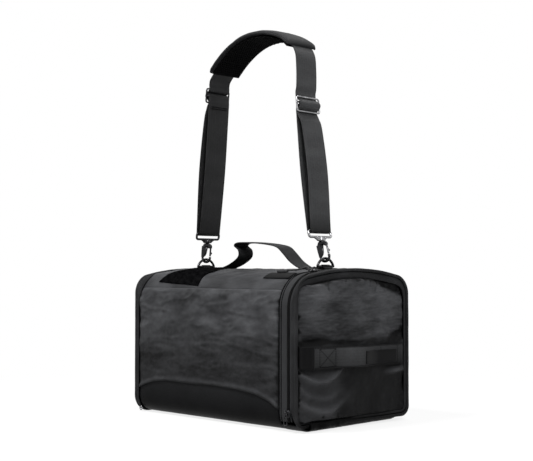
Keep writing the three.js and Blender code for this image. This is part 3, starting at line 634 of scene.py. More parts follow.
def tape(name, node, body, inner_x, outer_x, seed):
    low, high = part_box(node)
    x, s = spread(low.x - inner_x, high.x + outer_x, 13, zip_start, zip_end, 380)
    share = (x - x.min()) / (x.max() - x.min())
    lift = -TAPE_THICK + 0.35 * MM * np.sin(np.pi * share) + 0.18 * MM * crumple(x, s, 18 * MM, seed, 2)
    sheet(name, around(BODY, s, x, lift), TAPE_THICK, EVEN_TONE, ZIP_TAPE, "zip_plastic", body, node)


def coil(name, node, body, phase):
    """A row of teeth: a bead whose section swells once a pitch, leaning as a wound coil does."""
    low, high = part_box(node)
    steps = int((zip_end - zip_start) / COIL_PITCH * 5)
    s = np.linspace(zip_start, zip_end, steps)[:, None]
    across, up = rounded((high.x - low.x) / 2, 1.1 * MM, 8, 2.2).T
    swell = 0.86 + 0.24 * np.sin(2 * math.pi * (s / COIL_PITCH + phase) + across / MM)
    points = around(BODY, s, (low.x + high.x) / 2 + across * swell, -0.35 * MM + up * swell)
    made = grid_piece(name, points, closed=True)
    dress(made, COIL_NYLON, "zip_plastic", body, node)


tape("wall_zip_tape", "body_zip_tape", "bag", 1.0 * MM, 0.2 * MM, 6.1)
tape("flap_zip_band", "flap_zip_tape", "flap", 0.2 * MM, 0.8 * MM, 7.3)
coil("wall_coil", "body_zip_coil", "bag", 0.0)
coil("flap_coil", "flap_zip_coil", "flap", 0.5)

# ---- end panels ----
# The zipped end is a padded panel that swells out of its rim and wrinkles where it is sewn in; the
# other end is plainer and nearly flat.
def end_face(name, section, inset, x_rim, x_face, curl, relief, cells, outward, edge=0.22, tone=None):
    """A swollen face filling a section: curl is how far in its edge rolls, relief(y, z) its wrinkles."""
    places = np.linspace(-1, 1, cells)
    u, v = np.meshgrid(places, places)
    square = np.maximum(np.abs(u), np.abs(v))
    turn = np.arctan2(v, u)
    middle_z = (section[2].min() + section[2].max()) / 2
    inset = inset(section[1], section[2]) if callable(inset) else inset
    ring_y = section[1] - section[3] * inset
    ring_z = section[2] - section[4] * inset - middle_z
    ring_turn = np.unwrap(np.arctan2(ring_z, ring_y))
    order = np.argsort(np.mod(ring_turn, 2 * math.pi))
    reach = np.interp(np.mod(turn, 2 * math.pi), np.mod(ring_turn, 2 * math.pi)[order],
        np.hypot(ring_y, ring_z)[order], period=2 * math.pi)
    roll = bounded((1 - square) / edge)
    inward = curl * (1 - np.cos(roll * math.pi / 2))
    rise = np.sin(roll * math.pi / 2)
    flat_part = (reach - curl) * square / (1 - edge)
    radius = np.where(square > 1 - edge, reach - inward, flat_part)
    y = radius * np.cos(turn)
    z = middle_z + radius * np.sin(turn)
    if callable(x_rim):
        x_rim, x_face = x_rim(y), x_face(y)
    x = x_rim + (x_face - x_rim) * rise + outward * rise * relief(y, z)
    made = grid_piece(name, stacked(x, y, z), flip=outward < 0)
    if tone:
        # Painted shade: a wavy dark band round the face's edge, where it tucks under the rim, widest under
        # the top rim.
        under_top_rim = (v > np.abs(u)) * (0.7 + 1.2 * crumple(y, 0 * z, 22 * MM, 3.9, 2))
        gathers = bounded(crumple(y, z, 9 * MM, 7.9, 2) + 0.02)
        edge_shade_width = 0.030 + 0.065 * under_top_rim + 0.13 * gathers
        set_tone(made, tone(y, z) - bell(1 - square, 0, edge_shade_width, 4))
    return made


def bump_at(y, z, place_y, place_z, half_y, half_z, tilt=0.0):
    """A soft mound: one at its middle, fading over its half sizes, turned by tilt."""
    a = (y / MM - place_y) * math.cos(tilt) + (z / MM - place_z) * math.sin(tilt)
    b = (z / MM - place_z) * math.cos(tilt) - (y / MM - place_y) * math.sin(tilt)
    return np.exp(-((a / half_y) ** 2) - (b / half_z) ** 2)


# Two folds sweep round the near lower corner of the zipped end. Each rises with the square of the
# distance from its lowest point: place across, height and steepness, in millimetres.
SWEEPS = ((-72, 66, 0.011), (-66, 26, 0.010))


def above_sweep(up, out, sweep):
    place, height, steepness = SWEEPS[sweep]
    return up - height - steepness * (out - place) ** 2


def far_corner(up, out, softness):
    """One beyond the fold that cuts off the far top corner of the zipped end."""
    return past((out - 42) * 0.33 + (up - 196), 0, softness) * bounded((out - 30) / 12)


def flap_relief(y, z):
    """Wrinkles of the zipped end: fine level ripples above the handle, long folds below it."""
    up, out = z / MM, y / MM
    above = past(up, 114, 5)
    ripples = 0.9 * above * crumple(y * 0.14, z, 5.0 * MM, 3.3, 2)
    ripples = ripples + 1.8 * above * crumple(y * 0.35, z, 15 * MM, 6.1, 2)
    hollow = -2.6 * bump_at(y, z, -38, 163, 38, 11) - 1.6 * bump_at(y, z, 0, 128, 70, 9)
    swell = 3.0 * bump_at(y, z, -78, 182, 22, 20)
    corner = -4.5 * far_corner(up, out, 2.0)
    fold_right = -5.0 * bump_at(y, z, 88, 121, 24, 8, 0.42) + 4.0 * bump_at(y, z, 80, 72, 26, 4, 0.05)
    arcs = 4.2 * bell(above_sweep(up, out, 0), 0, 4.0) * past(out, -36, -5)
    arcs = arcs + 4.0 * bell(above_sweep(up, out, 1), 0, 4.5) * past(out, -36, -6)
    arcs = arcs + 2.4 * bell(above_sweep(up, out, 1), 17, 4.0) * past(out, -52, -6)
    over_handle = -3.4 * bump_at(y, z, -84, 119, 28, 5)
    cloudy = 1.6 * crumple(y, z, 34 * MM, 8.8)
    scallops = 1.8 * crumple(y, z, 11 * MM, 2.9, 2) * bounded((np.abs(out) - 84) / 14)
    folds = hollow + swell + corner + fold_right + arcs + over_handle
    return MM * (ripples + folds + cloudy + scallops - 1.2)


def flap_painted_light(y, z):
    """Painted light and shade: bright taut cloth above, dull and dark low on the far side, painted
    highlights on the folds' crests, and painted shade in their hollows, along the handle's edges and
    in the far corner's fold.
    """
    up, out = z / MM, y / MM
    above = past(up, 112, 6)
    near = past(out, -34, -9)
    tone = 0.03 + above * (0.50 + 0.48 * bounded((up - 135) / 45)) + (1 - above) * near * 0.36
    crest = np.clip(flap_relief(y, z) / (4 * MM), -1, 1)
    arcs = bell(above_sweep(up, out, 0), 0, 5) + bell(above_sweep(up, out, 1), 0, 5.5)
    arcs = arcs + 0.6 * bell(above_sweep(up, out, 1), 18, 5)
    # Painted highlights on the lower folds' crests, and painted shadows along the handle's upper and lower
    # edges.
    tone = tone + 0.26 * (1 - above) * near * arcs - 0.30 * bell(up, 117, 3.5) - 0.25 * bell(up, 81, 3.0)
    tone = tone + 0.30 * crest + 0.34 * above * crumple(y * 0.4, z, 15 * MM, 4.4, 4)
    tone = tone + (0.05 + 0.22 * above) * crumple(y * 0.22, z, 2.4 * MM, 9.4, 2)
    tone = tone - 0.75 * far_corner(up, out, 1.4)
    tone = tone + 0.22 * above * bounded(out / 60) * bounded((185 - up) / 20)
    tone = tone - 0.9 * bump_at(y, z, 96, 124, 27, 9, 0.42) + 0.42 * bump_at(y, z, 84, 73, 24, 5, 0.05)
    tone = tone - 0.45 * bump_at(y, z, -82, 120, 30, 5) - 0.10 * (1 - above) * bounded((out - 70) / 30)
    return np.clip(tone, 0.0, 1.4)


def plain_relief(y, z):
    return MM * (0.9 * crumple(y, z, 44 * MM, 2.9) + 0.5 * crumple(y, z, 14 * MM, 4.1, 2) - 0.8)


PANEL_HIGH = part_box("flap_panel")[1]


def panel_x(y):
    """The panel's face: it swells quickly from the near rim and stays level to the far one."""
    return RIM_NEAR_X + (PANEL_HIGH.x - 0.6 * MM - RIM_NEAR_X) * (1 - np.exp(-(y + HALF_WIDTH) / (30 * MM)))


flap_panel = end_face("flap_padded_panel", FLAP, lambda y, z: 1.2 * MM + facing_depth(y, z),
    lambda y: rim_x(y) - 3.5 * MM, panel_x, 3.5 * MM, flap_relief, 221, 1, edge=0.10, tone=flap_painted_light)
thicken(flap_panel, CLOTH_THICK)
dress(flap_panel, BODY_CLOTH, "body_fabric", "flap", "flap_panel")

flap_lining = end_face("flap_lining", FLAP_BACK, 3.5 * MM, FLAP_LOW.x + 3 * MM, FLAP_LOW.x + 3.4 * MM,
    8 * MM, plain_relief, 61, -1)
dress(flap_lining, TRAY_COATED, "body_fabric", "flap")

plain_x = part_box("plain_end_panel")[0].x
plain_panel = end_face("plain_end_wall", PLAIN, 3.6 * MM, plain_x + 3.0 * MM, plain_x + 0.8 * MM, 6 * MM,
    plain_relief, 121, -1)
set_tone(plain_panel, 0.5)
thicken(plain_panel, CLOTH_THICK)
dress(plain_panel, BODY_CLOTH, "body_fabric", "bag", "plain_end_panel")

# ---- seams beside the zip ----
# The wall's cloth is folded under and stitched twice beside the zip with dark thread, and the flap's
# tape once. The rows are sunk into the cloth.
seam_s = np.linspace(zip_start, zip_end, 900)
SEAM_THREAD = finish_of("seam_thread", (0.0004, 0.0004, 0.0005), (0.0012, 0.0012, 0.0013), 0.5, 0.7, 4, 0.4,
    grain=0.02, specular=0.01)


def seam_line(name, x, lift, body, radius):
    """A sunk line of stitches up the front, over the top and down the back."""
    swell = radius * (0.75 + 0.25 * np.cos(2 * math.pi * seam_s / (3.2 * MM)))
    profile = rounded(1.0, 1.0, 6, 2.0)
    points = around(BODY, seam_s[:, None], x + swell[:, None] * profile[:, 0],
        lift + swell[:, None] * profile[:, 1])
    made = grid_piece(name, points, closed=True)
    dress(made, SEAM_THREAD, "webbing", body)


seam_line("wall_seam_outer", ZIP_SEAM_X - 0.6 * MM, -0.8 * MM, "bag", 1.15 * MM)
seam_line("wall_seam_inner", ZIP_SEAM_X + 3.4 * MM, -0.6 * MM, "bag", 0.8 * MM)
seam_line("flap_seam", FLAP_LOW.x + 0.2 * MM, -0.5 * MM, "flap", 0.95 * MM)

# ---- flap hinge ----
# A strip of the tray's cloth runs out under the flap and turns up into its lower seam. It is the
# flap's only hinge.
LIP_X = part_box("base_panel")[1].x
STRIP_LOW, STRIP_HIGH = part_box("flap_hinge_strip")
x, share = spread(ZIP_SEAM_X - 1 * MM, LIP_X + 3.0 * MM, 24, -1, 1, 121)
reach = climb(BODY, 9 * MM)
s = np.where(share < 0, BODY_ROUND + share * reach, share * reach)
lift = -0.5 * MM + 0.2 * MM * crumple(x, share * reach, 14 * MM, 3.8)
lift = lift - 1.3 * MM * bounded((x - LIP_X) / (3 * MM)) ** 2
sheet("tray_lip", around(BODY, s, x, lift), TRAY_THICK, EVEN_TONE, TRAY_COATED, "coated_base", "bag")

turn_up = np.array([[158, 1.6], [163, 1.7], [166.4, 3.0], [168.3, 6.0], [168.6, 9.5], [167.6, 13.0]]) * MM
y = np.linspace(STRIP_LOW.y - 4 * MM, STRIP_HIGH.y + 4 * MM, 110)
column = np.linspace(0, len(turn_up) - 1, 19)
hinge_x = np.interp(column, range(len(turn_up)), turn_up[:, 0])[None, :]
hinge_z = np.interp(column, range(len(turn_up)), turn_up[:, 1])[None, :]
lump = bump_at(y, y * 0, -60, 0, 9, 1e6)[:, None]
creases = crumple(y[:, None] + 0 * hinge_z, hinge_z + 0 * y[:, None], 12 * MM, 5.1, 2)
bulge = np.sin(np.linspace(0, math.pi, 19))[None, :] * (1.0 * creases + 2.2 * lump) * MM
points = stacked(hinge_x + bulge, y[:, None] + 0 * hinge_x, hinge_z + 0 * bulge)
hinge_strip = grid_piece("flap_hinge_cloth", points, flip=True)
thicken(hinge_strip, 1.0 * MM)
hinge_strip.data.materials.append(TRAY_COATED)
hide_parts("flap_hinge_strip")
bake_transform(hinge_strip)

# ---- flap handle ----
# A wide webbing sewn across the zipped end, loose in the middle for fingers, with boxed cross
# stitching at its near end, a bare moulded patch, and a folded side tag caught in the rim's seam.
HANDLE_WIDTH = 29.5 * MM
HANDLE_THICK = 1.8 * MM
HANDLE_TILT = 3.2 / 188
HANDLE_WEB = finish_of("handle_webbing", (0.008, 0.0082, 0.0088), (0.017, 0.0173, 0.0183), 0.5, 0.66, 26,
    0.9, (1.6, 1.1, 0.5), 0.20, 0.06, specular=0.05)
MOULDED = finish_of("bare_moulded_rubber", (0.0020, 0.0020, 0.0022), (0.0040, 0.0040, 0.0043), 0.45, 0.6,
    18, 0.7, grain=0.05, specular=0.05)
THREAD = finish_of("bonded_thread", (0.0012, 0.0012, 0.0014), (0.0030, 0.0030, 0.0032), 0.4, 0.55, 4, 0.4,
    grain=0.02, specular=0.02)
FLAP_WEB = finish_of("flap_handle_webbing", (0.017, 0.0173, 0.018), (0.034, 0.0345, 0.036), 0.5, 0.66, 26,
    0.9, (1.6, 1.1, 0.5), 0.20, 0.06, specular=0.05, toned=True)
GRIP_LOW, GRIP_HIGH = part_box("flap_handle")
handle_middle = (GRIP_LOW.z + GRIP_HIGH.z) / 2
handle_face = GRIP_LOW.x + 0.9 * MM
bow_height = GRIP_HIGH.x - GRIP_LOW.x - 1.8 * MM


def smooth_path(points, step):
    """Even points on a smooth curve through the given ones."""
    points = np.asarray(points, float)
    ends = np.vstack([points[:1], points, points[-1:]])
    t = np.linspace(0, 1, 24, endpoint=False)[:, None]
    parts = []
    for a, b, c, d in zip(ends, ends[1:], ends[2:], ends[3:]):
        bend = t * t * (2 * a - 5 * b + 4 * c - d) + t**3 * (3 * b - a - 3 * c + d)
        parts.append(0.5 * (2 * b + t * (c - a) + bend))
    dense = np.vstack([*parts, points[-1:]])
    length = np.concatenate([[0], np.cumsum(np.linalg.norm(np.diff(dense, axis=0), axis=1))])
    even = np.linspace(0, length[-1], max(int(length[-1] / step), 2) + 1)
    return np.stack([np.interp(even, length, dense[:, k]) for k in range(dense.shape[1])], axis=-1)


def ribbon(name, path, across, width, thickness, cup=0.0):
    """Webbing: a flat section swept along a path. across is the direction of its width, and cup
    lifts its two edges."""
    across = np.broadcast_to(across, path.shape)
    forward = unit(np.gradient(path, axis=0))
    out = unit(np.cross(forward, across))
    across = unit(np.cross(out, forward))
    profile = rounded(width / 2, thickness / 2, 28, 9.0)
    lift = profile[:, 1] + cup * (profile[:, 0] / (width / 2)) ** 2
    points = path[:, None] + across[:, None] * profile[None, :, 0:1] + out[:, None] * lift[None, :, None]
    return grid_piece(name, points, closed=True)


def thread_run(points, out, pitch=3.0 * MM, thread=0.55 * MM):
    """A row of stitches: a thread that rises and dips as it goes through the cloth."""
    path = smooth_path(points, 0.3 * MM)
    forward = unit(np.gradient(path, axis=0))
    out = unit(np.broadcast_to(out, path.shape) + 0 * path)
    side = unit(np.cross(forward, out))
    run = np.arange(len(path)) * 0.3 * MM
    over = np.sin(math.pi * run / pitch) ** 2
    girth = thread * (0.45 + 0.55 * over[:, None, None])
    centre = path + out * ((over - 0.75) * thread * 1.6)[:, None]
    return tube("stitch", centre, side, out, girth, 6)


def sewn(name, runs, body):
    """Rows of stitches made one piece of thread."""
    dress(joined(name, runs), THREAD, "webbing", body)


def handle_place(y, lift=0.0):
    """A point of the handle's middle line at a place across the end; it bows out between its seams."""
    y = np.asarray(y, float)
    turn = bounded((y / MM + 50) / 91) * 2 * math.pi
    bow = bow_height * 0.5 * (1 - np.cos(turn))
    tucked = 9 * MM * bounded((y / MM - 92) / 14) ** 1.5
    x = handle_face + lift + bow - tucked
    z = handle_middle - 0.5 * MM - HANDLE_TILT * (y + 94 * MM)
    return stacked(x, y, z)


upright = np.array([0, 0, 1.0])
handle = ribbon("flap_handle_web", handle_place(np.linspace(-96, 106, 130) * MM), upright, HANDLE_WIDTH,
    HANDLE_THICK, 0.25 * MM)
corners = corners_of(handle)
height = (corners[:, 2] - handle_place(corners[:, 1])[:, 2]) / MM
out = corners[:, 1] / MM
# The handle's tone is painted light and shade: dark along both edges and lighter towards its top; it is also
# lighter on the loose stretch and darker towards the far end.
edge = bounded((14.4 - np.abs(height)) / 1.5)
tone = EVEN_TONE * (0.90 + 0.45 * bell(out, -22, 24, 4) - 0.35 * bounded(out / 60)) + 0.012 * height
set_tone(handle, tone * edge - 0.06)
dress(handle, FLAP_WEB, "webbing", "flap", "flap_handle")

PATCH_LOW, PATCH_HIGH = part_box("flap_handle_patch")


def on_handle(y, z, lift):
    """A point on the handle's face, from millimetres across and up the end."""
    spot = handle_place(y * MM, lift)
    spot[..., 2] = z * MM - HANDLE_TILT * (y + 94) * MM
    return spot


patch_path = handle_place(np.linspace(PATCH_LOW.y, PATCH_HIGH.y, 80), 1.3 * MM)
patch_path[:, 2] += (PATCH_LOW.z + PATCH_HIGH.z) / 2 - handle_middle + 2.2 * MM
patch_height = PATCH_HIGH.z - PATCH_LOW.z
patch_parts = [ribbon("base", patch_path, upright, patch_height, 0.9 * MM)]
for way in (-1, 1):
    edge_path = patch_path + upright * way * (patch_height / 2 - 1 * MM) + (0.55 * MM, 0, 0)
    patch_parts.append(ribbon("edge", edge_path, upright, 1.3 * MM, 0.7 * MM))
patch_piece = joined("flap_handle_bare_patch", patch_parts)
dress(patch_piece, MOULDED, "bare_label", "flap", "flap_handle_patch")

left, right, low, high = -83, -51, 86.5, 110.5
box_lines = [((left, low), (right, low)), ((right, low), (right, high)), ((right, high), (left, high)),
    ((left, high), (left, low)), ((left, low), (right, high)), ((left, high), (right, low)),
    ((-93, 86), (95, 86)), ((-93, 111.5), (95, 111.5)), ((45, 104), (45, 111)), ((83, 86.5), (83, 111))]
runs = []
for (y0, z0), (y1, z1) in box_lines:
    t = np.linspace(0, 1, 24)
    runs.append(thread_run(on_handle(y0 + (y1 - y0) * t, z0 + (z1 - z0) * t, 1.05 * MM), (1, 0, 0)))
sewn("flap_handle_stitches", runs, "flap")

TAG_LOW, TAG_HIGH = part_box("flap_tag")
tag_path = np.array([(161.5, -106.5), (168, -108.6), (174, -107.2), (178.2, -102.5), (179.2, -96.0),
    (179.0, -94.6), (178.1, -94.4), (177.6, -96.0), (176.6, -101.5)]) * MM
tag_path = smooth_path(np.insert(tag_path, 2, (TAG_LOW.z + TAG_HIGH.z) / 2 + 0.5 * MM, axis=1), 0.8 * MM)
tag = ribbon("side_tag", tag_path, -upright, 28.5 * MM, 0.9 * MM)
dress(tag, MOULDED, "webbing", "flap", "flap_tag")

# ---- carry handle ----
# One length of woven handle webbing, sewn flat to the top at both ends with crossed rows of thread.
# It stands up in a loose bend between them, and folds over itself at one end.
CARRY_LOW, CARRY_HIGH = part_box("carry_handle")
CARRY_WIDTH = CARRY_HIGH.y - CARRY_LOW.y
lie = CROWN_TOP + 1.2 * MM
carry_points = np.array([(-108, 0), (-98, 0), (-86, 0.4), (-66, 6.8), (-49, 16.8), (-48, 26.8), (-57, 33.8),
    (-52, 38.4), (-36, 38.8), (-10, 37.8), (18, 34.8), (34, 30.8), (46, 21.8), (60, 9.8), (76, 1.4),
    (86, 0), (97, 0)]) * MM
carry_path = smooth_path(stacked(carry_points[:, 0], 0 * carry_points[:, 0], lie + carry_points[:, 1]),
    1.5 * MM)
carry = ribbon("carry_handle_web", carry_path, (0, -1.0, 0), CARRY_WIDTH, HANDLE_THICK, 0.5 * MM)
dress(carry, HANDLE_WEB, "webbing", "bag", "carry_handle")

runs = []
for x0, x1 in ((-106, -90), (79, 95)):
    corners = [(x0, -12), (x1, -12), (x1, 12), (x0, 12), (x0, -12), (x1, 12), (x0, 12), (x1, -12)]
    for a, b in zip(corners, corners[1:]):
        line = np.linspace((*a, (lie + 1.0 * MM) / MM), (*b, (lie + 1.0 * MM) / MM), 12) * MM
        runs.append(thread_run(line, (0, 0, 1)))
sewn("carry_handle_stitches", runs, "bag")

# ---- patches on the shoulder ----
# A patch of fuzzy loop pile, for badges to stick to, is sewn flat over the front shoulder. A small bare
# label of moulded rubber with a raised edge is sewn beside the zipped end.
PATCH_THICK = 0.8 * MM
LABEL_LOW, LABEL_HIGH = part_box("label_patch")
LOOP_PILE = finish_of("loop_pile", (0.0002, 0.0002, 0.0003), (0.0058, 0.0058, 0.0062), 0.8, 0.95, 9, 2.6,
    grain=0.8, specular=0.0)
share_along, share_up = spread(0, 1, 150, 0, 1, 110)
pile_start = climb(BODY, 191 * MM) + 6 * MM * (1 - share_along)
pile_end = np.interp(-18 * MM, BODY[1, 200:600], BODY[0, 200:600])
s = pile_start + (pile_end - pile_start) * share_up
left_edge = -134 * MM + 5 * MM * np.sin(math.pi * share_up)
right_edge = -41 * MM - 20 * MM * share_up
x = left_edge + (right_edge - left_edge) * share_along
tufts = crumple(x, s, 1.5 * MM, 12.1, 2)
border = np.minimum.reduce([share_along, 1 - share_along, share_up, 1 - share_up])
edge = bounded(border * 40)
lift = (1.5 + (0.9 + 0.8 * tufts) * edge) * MM
sheet("loop_pile_patch", around(BODY, s, x, lift), PATCH_THICK, EVEN_TONE, LOOP_PILE, "loop_pile", "bag",
    "pile_patch")

label_end = np.interp(LABEL_HIGH.y, BODY[1, 200:600], BODY[0, 200:600])
x, s = spread(LABEL_LOW.x, LABEL_HIGH.x, 60, climb(BODY, LABEL_LOW.z), label_end, 40)
near_edge = np.minimum(np.minimum(x - x.min(), x.max() - x), np.minimum(s - s.min(), s.max() - s))
lift = 0.8 * MM + 0.5 * MM * bounded(near_edge / (0.8 * MM)) - 0.35 * MM * (near_edge > 1.8 * MM)
sheet("bare_label", around(BODY, s, x, lift), PATCH_THICK, EVEN_TONE, MOULDED, "bare_label", "bag",
    "label_patch")

# ---- D-rings and their tabs ----
# Cast rings, plated black nickel, with a straight bar. Each is held by a short webbing tab folded round
# the bar and sewn to the top.
# Three copies of one black nickel: the lighter two paint in the reflections and light that fall on the lit
# side's hardware.
BLACK_NICKEL, PAINTED_LIT_NICKEL, PAINTED_HALF_LIT_NICKEL = (finish_of(*look, grain=0.02, metallic=1.0, place="Object")
    for look in (("black_nickel", (0.016, 0.016, 0.017), (0.044, 0.044, 0.047), 0.16, 0.30, 9, 0.6),
    ("black_nickel_painted_lit", (0.14, 0.14, 0.145), (0.42, 0.42, 0.43), 0.14, 0.28, 9, 0.6),
    ("black_nickel_painted_half_lit", (0.035, 0.035, 0.037), (0.19, 0.19, 0.20), 0.18, 0.34, 7, 0.7)))
SIDES = ("left", "right")
RING_WIRE = 1.85 * MM
RING_ARC = 18.2 * MM
RING_DROP = 6.55 * MM
RING_BAR_Z = CROWN_TOP + 3.55 * MM
RING_CENTRE_Z = RING_BAR_Z - RING_DROP
TAB_WIDTH = 16 * MM
TAB_THICK = 0.9 * MM
RING_X = {side: sum(corner.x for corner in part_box(f"{side}_ring")) / 2 for side in SIDES}


def rod(name, path, radius, closed=False, sides=14):
    """A round wire along a path; radius is one number or one for each point."""
    path = np.asarray(path, float)
    if closed:
        path = np.vstack([path, path[:1]])
        forward = unit(np.roll(path[:-1], -1, axis=0) - np.roll(path[:-1], 1, axis=0))
        forward = np.vstack([forward, forward[:1]])
    else:
        forward = unit(np.gradient(path, axis=0))
    start = np.cross(forward[0], (0.31, 0.87, 0.12))
    side = [unit(start)]
    for ahead in forward[1:]:
        side.append(unit(side[-1] - ahead * np.dot(side[-1], ahead)))
    side = np.array(side)
    up = np.cross(forward, side)
    if closed:
        side[-1], up[-1] = side[0], up[0]
    girth = np.broadcast_to(radius, len(path))[:, None, None]
    return tube(name, path, side, up, girth, sides, ring=closed)


def softened(corners, radius, steps=6):
    """A closed outline with its corners rounded."""
    corners = np.asarray(corners, float)
    made = []
    for before, corner, after in zip(np.roll(corners, 1, axis=0), corners, np.roll(corners, -1, axis=0)):
        a = corner + unit(before - corner) * radius
        b = corner + unit(after - corner) * radius
        for t in np.linspace(0, 1, steps):
            made.append((1 - t) ** 2 * a + 2 * t * (1 - t) * corner + t * t * b)
    return np.array(made)


for side in SIDES:
    x = RING_X[side]
    rise = math.asin(RING_DROP / RING_ARC)
    turns = np.linspace(rise, math.pi - rise, 30)
    arc = stacked(np.full(30, x), RING_ARC * np.cos(turns), RING_CENTRE_Z + RING_ARC * np.sin(turns))
    corner = RING_ARC * math.cos(rise)
    bar = np.linspace((x, -corner + 2 * MM, RING_BAR_Z), (x, corner - 2 * MM, RING_BAR_Z), 10)
    ring = rod(f"{side}_d_ring", np.vstack([arc, bar]), RING_WIRE, closed=True)
    dress(ring, BLACK_NICKEL, "black_nickel", f"{side}_ring", f"{side}_ring")
    around_bar = RING_WIRE + 0.5 * MM
    hump = [(x + around_bar * math.cos(t), 0, RING_BAR_Z + around_bar * math.sin(t))
        for t in np.linspace(-0.5, math.pi + 0.5, 12)]
    flat = CROWN_TOP + 0.95 * MM
    tab_path = [(x + 14 * MM, 0, flat), (x + 9 * MM, 0, flat), (x + 4.6 * MM, 0, flat + 0.6 * MM), *hump,
        (x - 4.6 * MM, 0, flat + 0.6 * MM), (x - 9 * MM, 0, flat), (x - 14 * MM, 0, flat)]
    tab = ribbon(f"{side}_tab_web", smooth_path(tab_path, 0.7 * MM), (0, 1.0, 0), TAB_WIDTH, TAB_THICK)
    dress(tab, HANDLE_WEB, "webbing", "bag", f"{side}_ring_tab")

# ---- snap hooks ----
# Die-cast swivel hooks hang from the strap by a flat slotted loop, and close round the rings. The
# loop and shoulders are one casting, the bow and its riveted spring gate turn below it on a post.
HOOK_BOW = 6.5
BOW_CENTRE = 2.45
HOOK_LEAN = {"left": math.radians(6.5), "right": math.radians(-17)}
SWIVEL_TURN = math.radians(20)
HEEL_BOW = 6.8
HOOK_DROP = 41
# On the right, the lit side, the loop, glide and gate take the lighter copies: painted light.
LOOP_METAL = {"left": BLACK_NICKEL, "right": PAINTED_LIT_NICKEL}
GATE_METAL = {"left": BLACK_NICKEL, "right": PAINTED_HALF_LIT_NICKEL}


def lofted(name, sections, power=4.0, sides=24):
    """A casting drawn as level sections in millimetres: height, centre x, half depth, half width."""
    rows = []
    for z, x, half_x, half_y in sections:
        profile = rounded(half_x, half_y, sides, power)
        rows.append(stacked(x + profile[:, 0], profile[:, 1], np.full(len(profile), z)))
    return grid_piece(name, np.array(rows) * MM, closed=True)


def capped(sections):
    """Sections with both ends rounded over."""
    first, last = sections[0], sections[-1]
    low = (first[0] - 0.4, first[1], first[2] * 0.72, first[3] * 0.9)
    high = (last[0] + 0.4, last[1], last[2] * 0.72, last[3] * 0.9)
    return [low, *sections, high]


def casting(name, parts, stand, material, body, *nodes, slot="black_nickel"):
    """Parts made one metal or moulded piece, moved to where it stands, and dressed."""
    for part in parts:
        part.data.transform(stand)
    made = joined(name, parts) if len(parts) > 1 else parts[0]
    made.name = name
    dress(made, material, slot, body, *nodes)
    return made


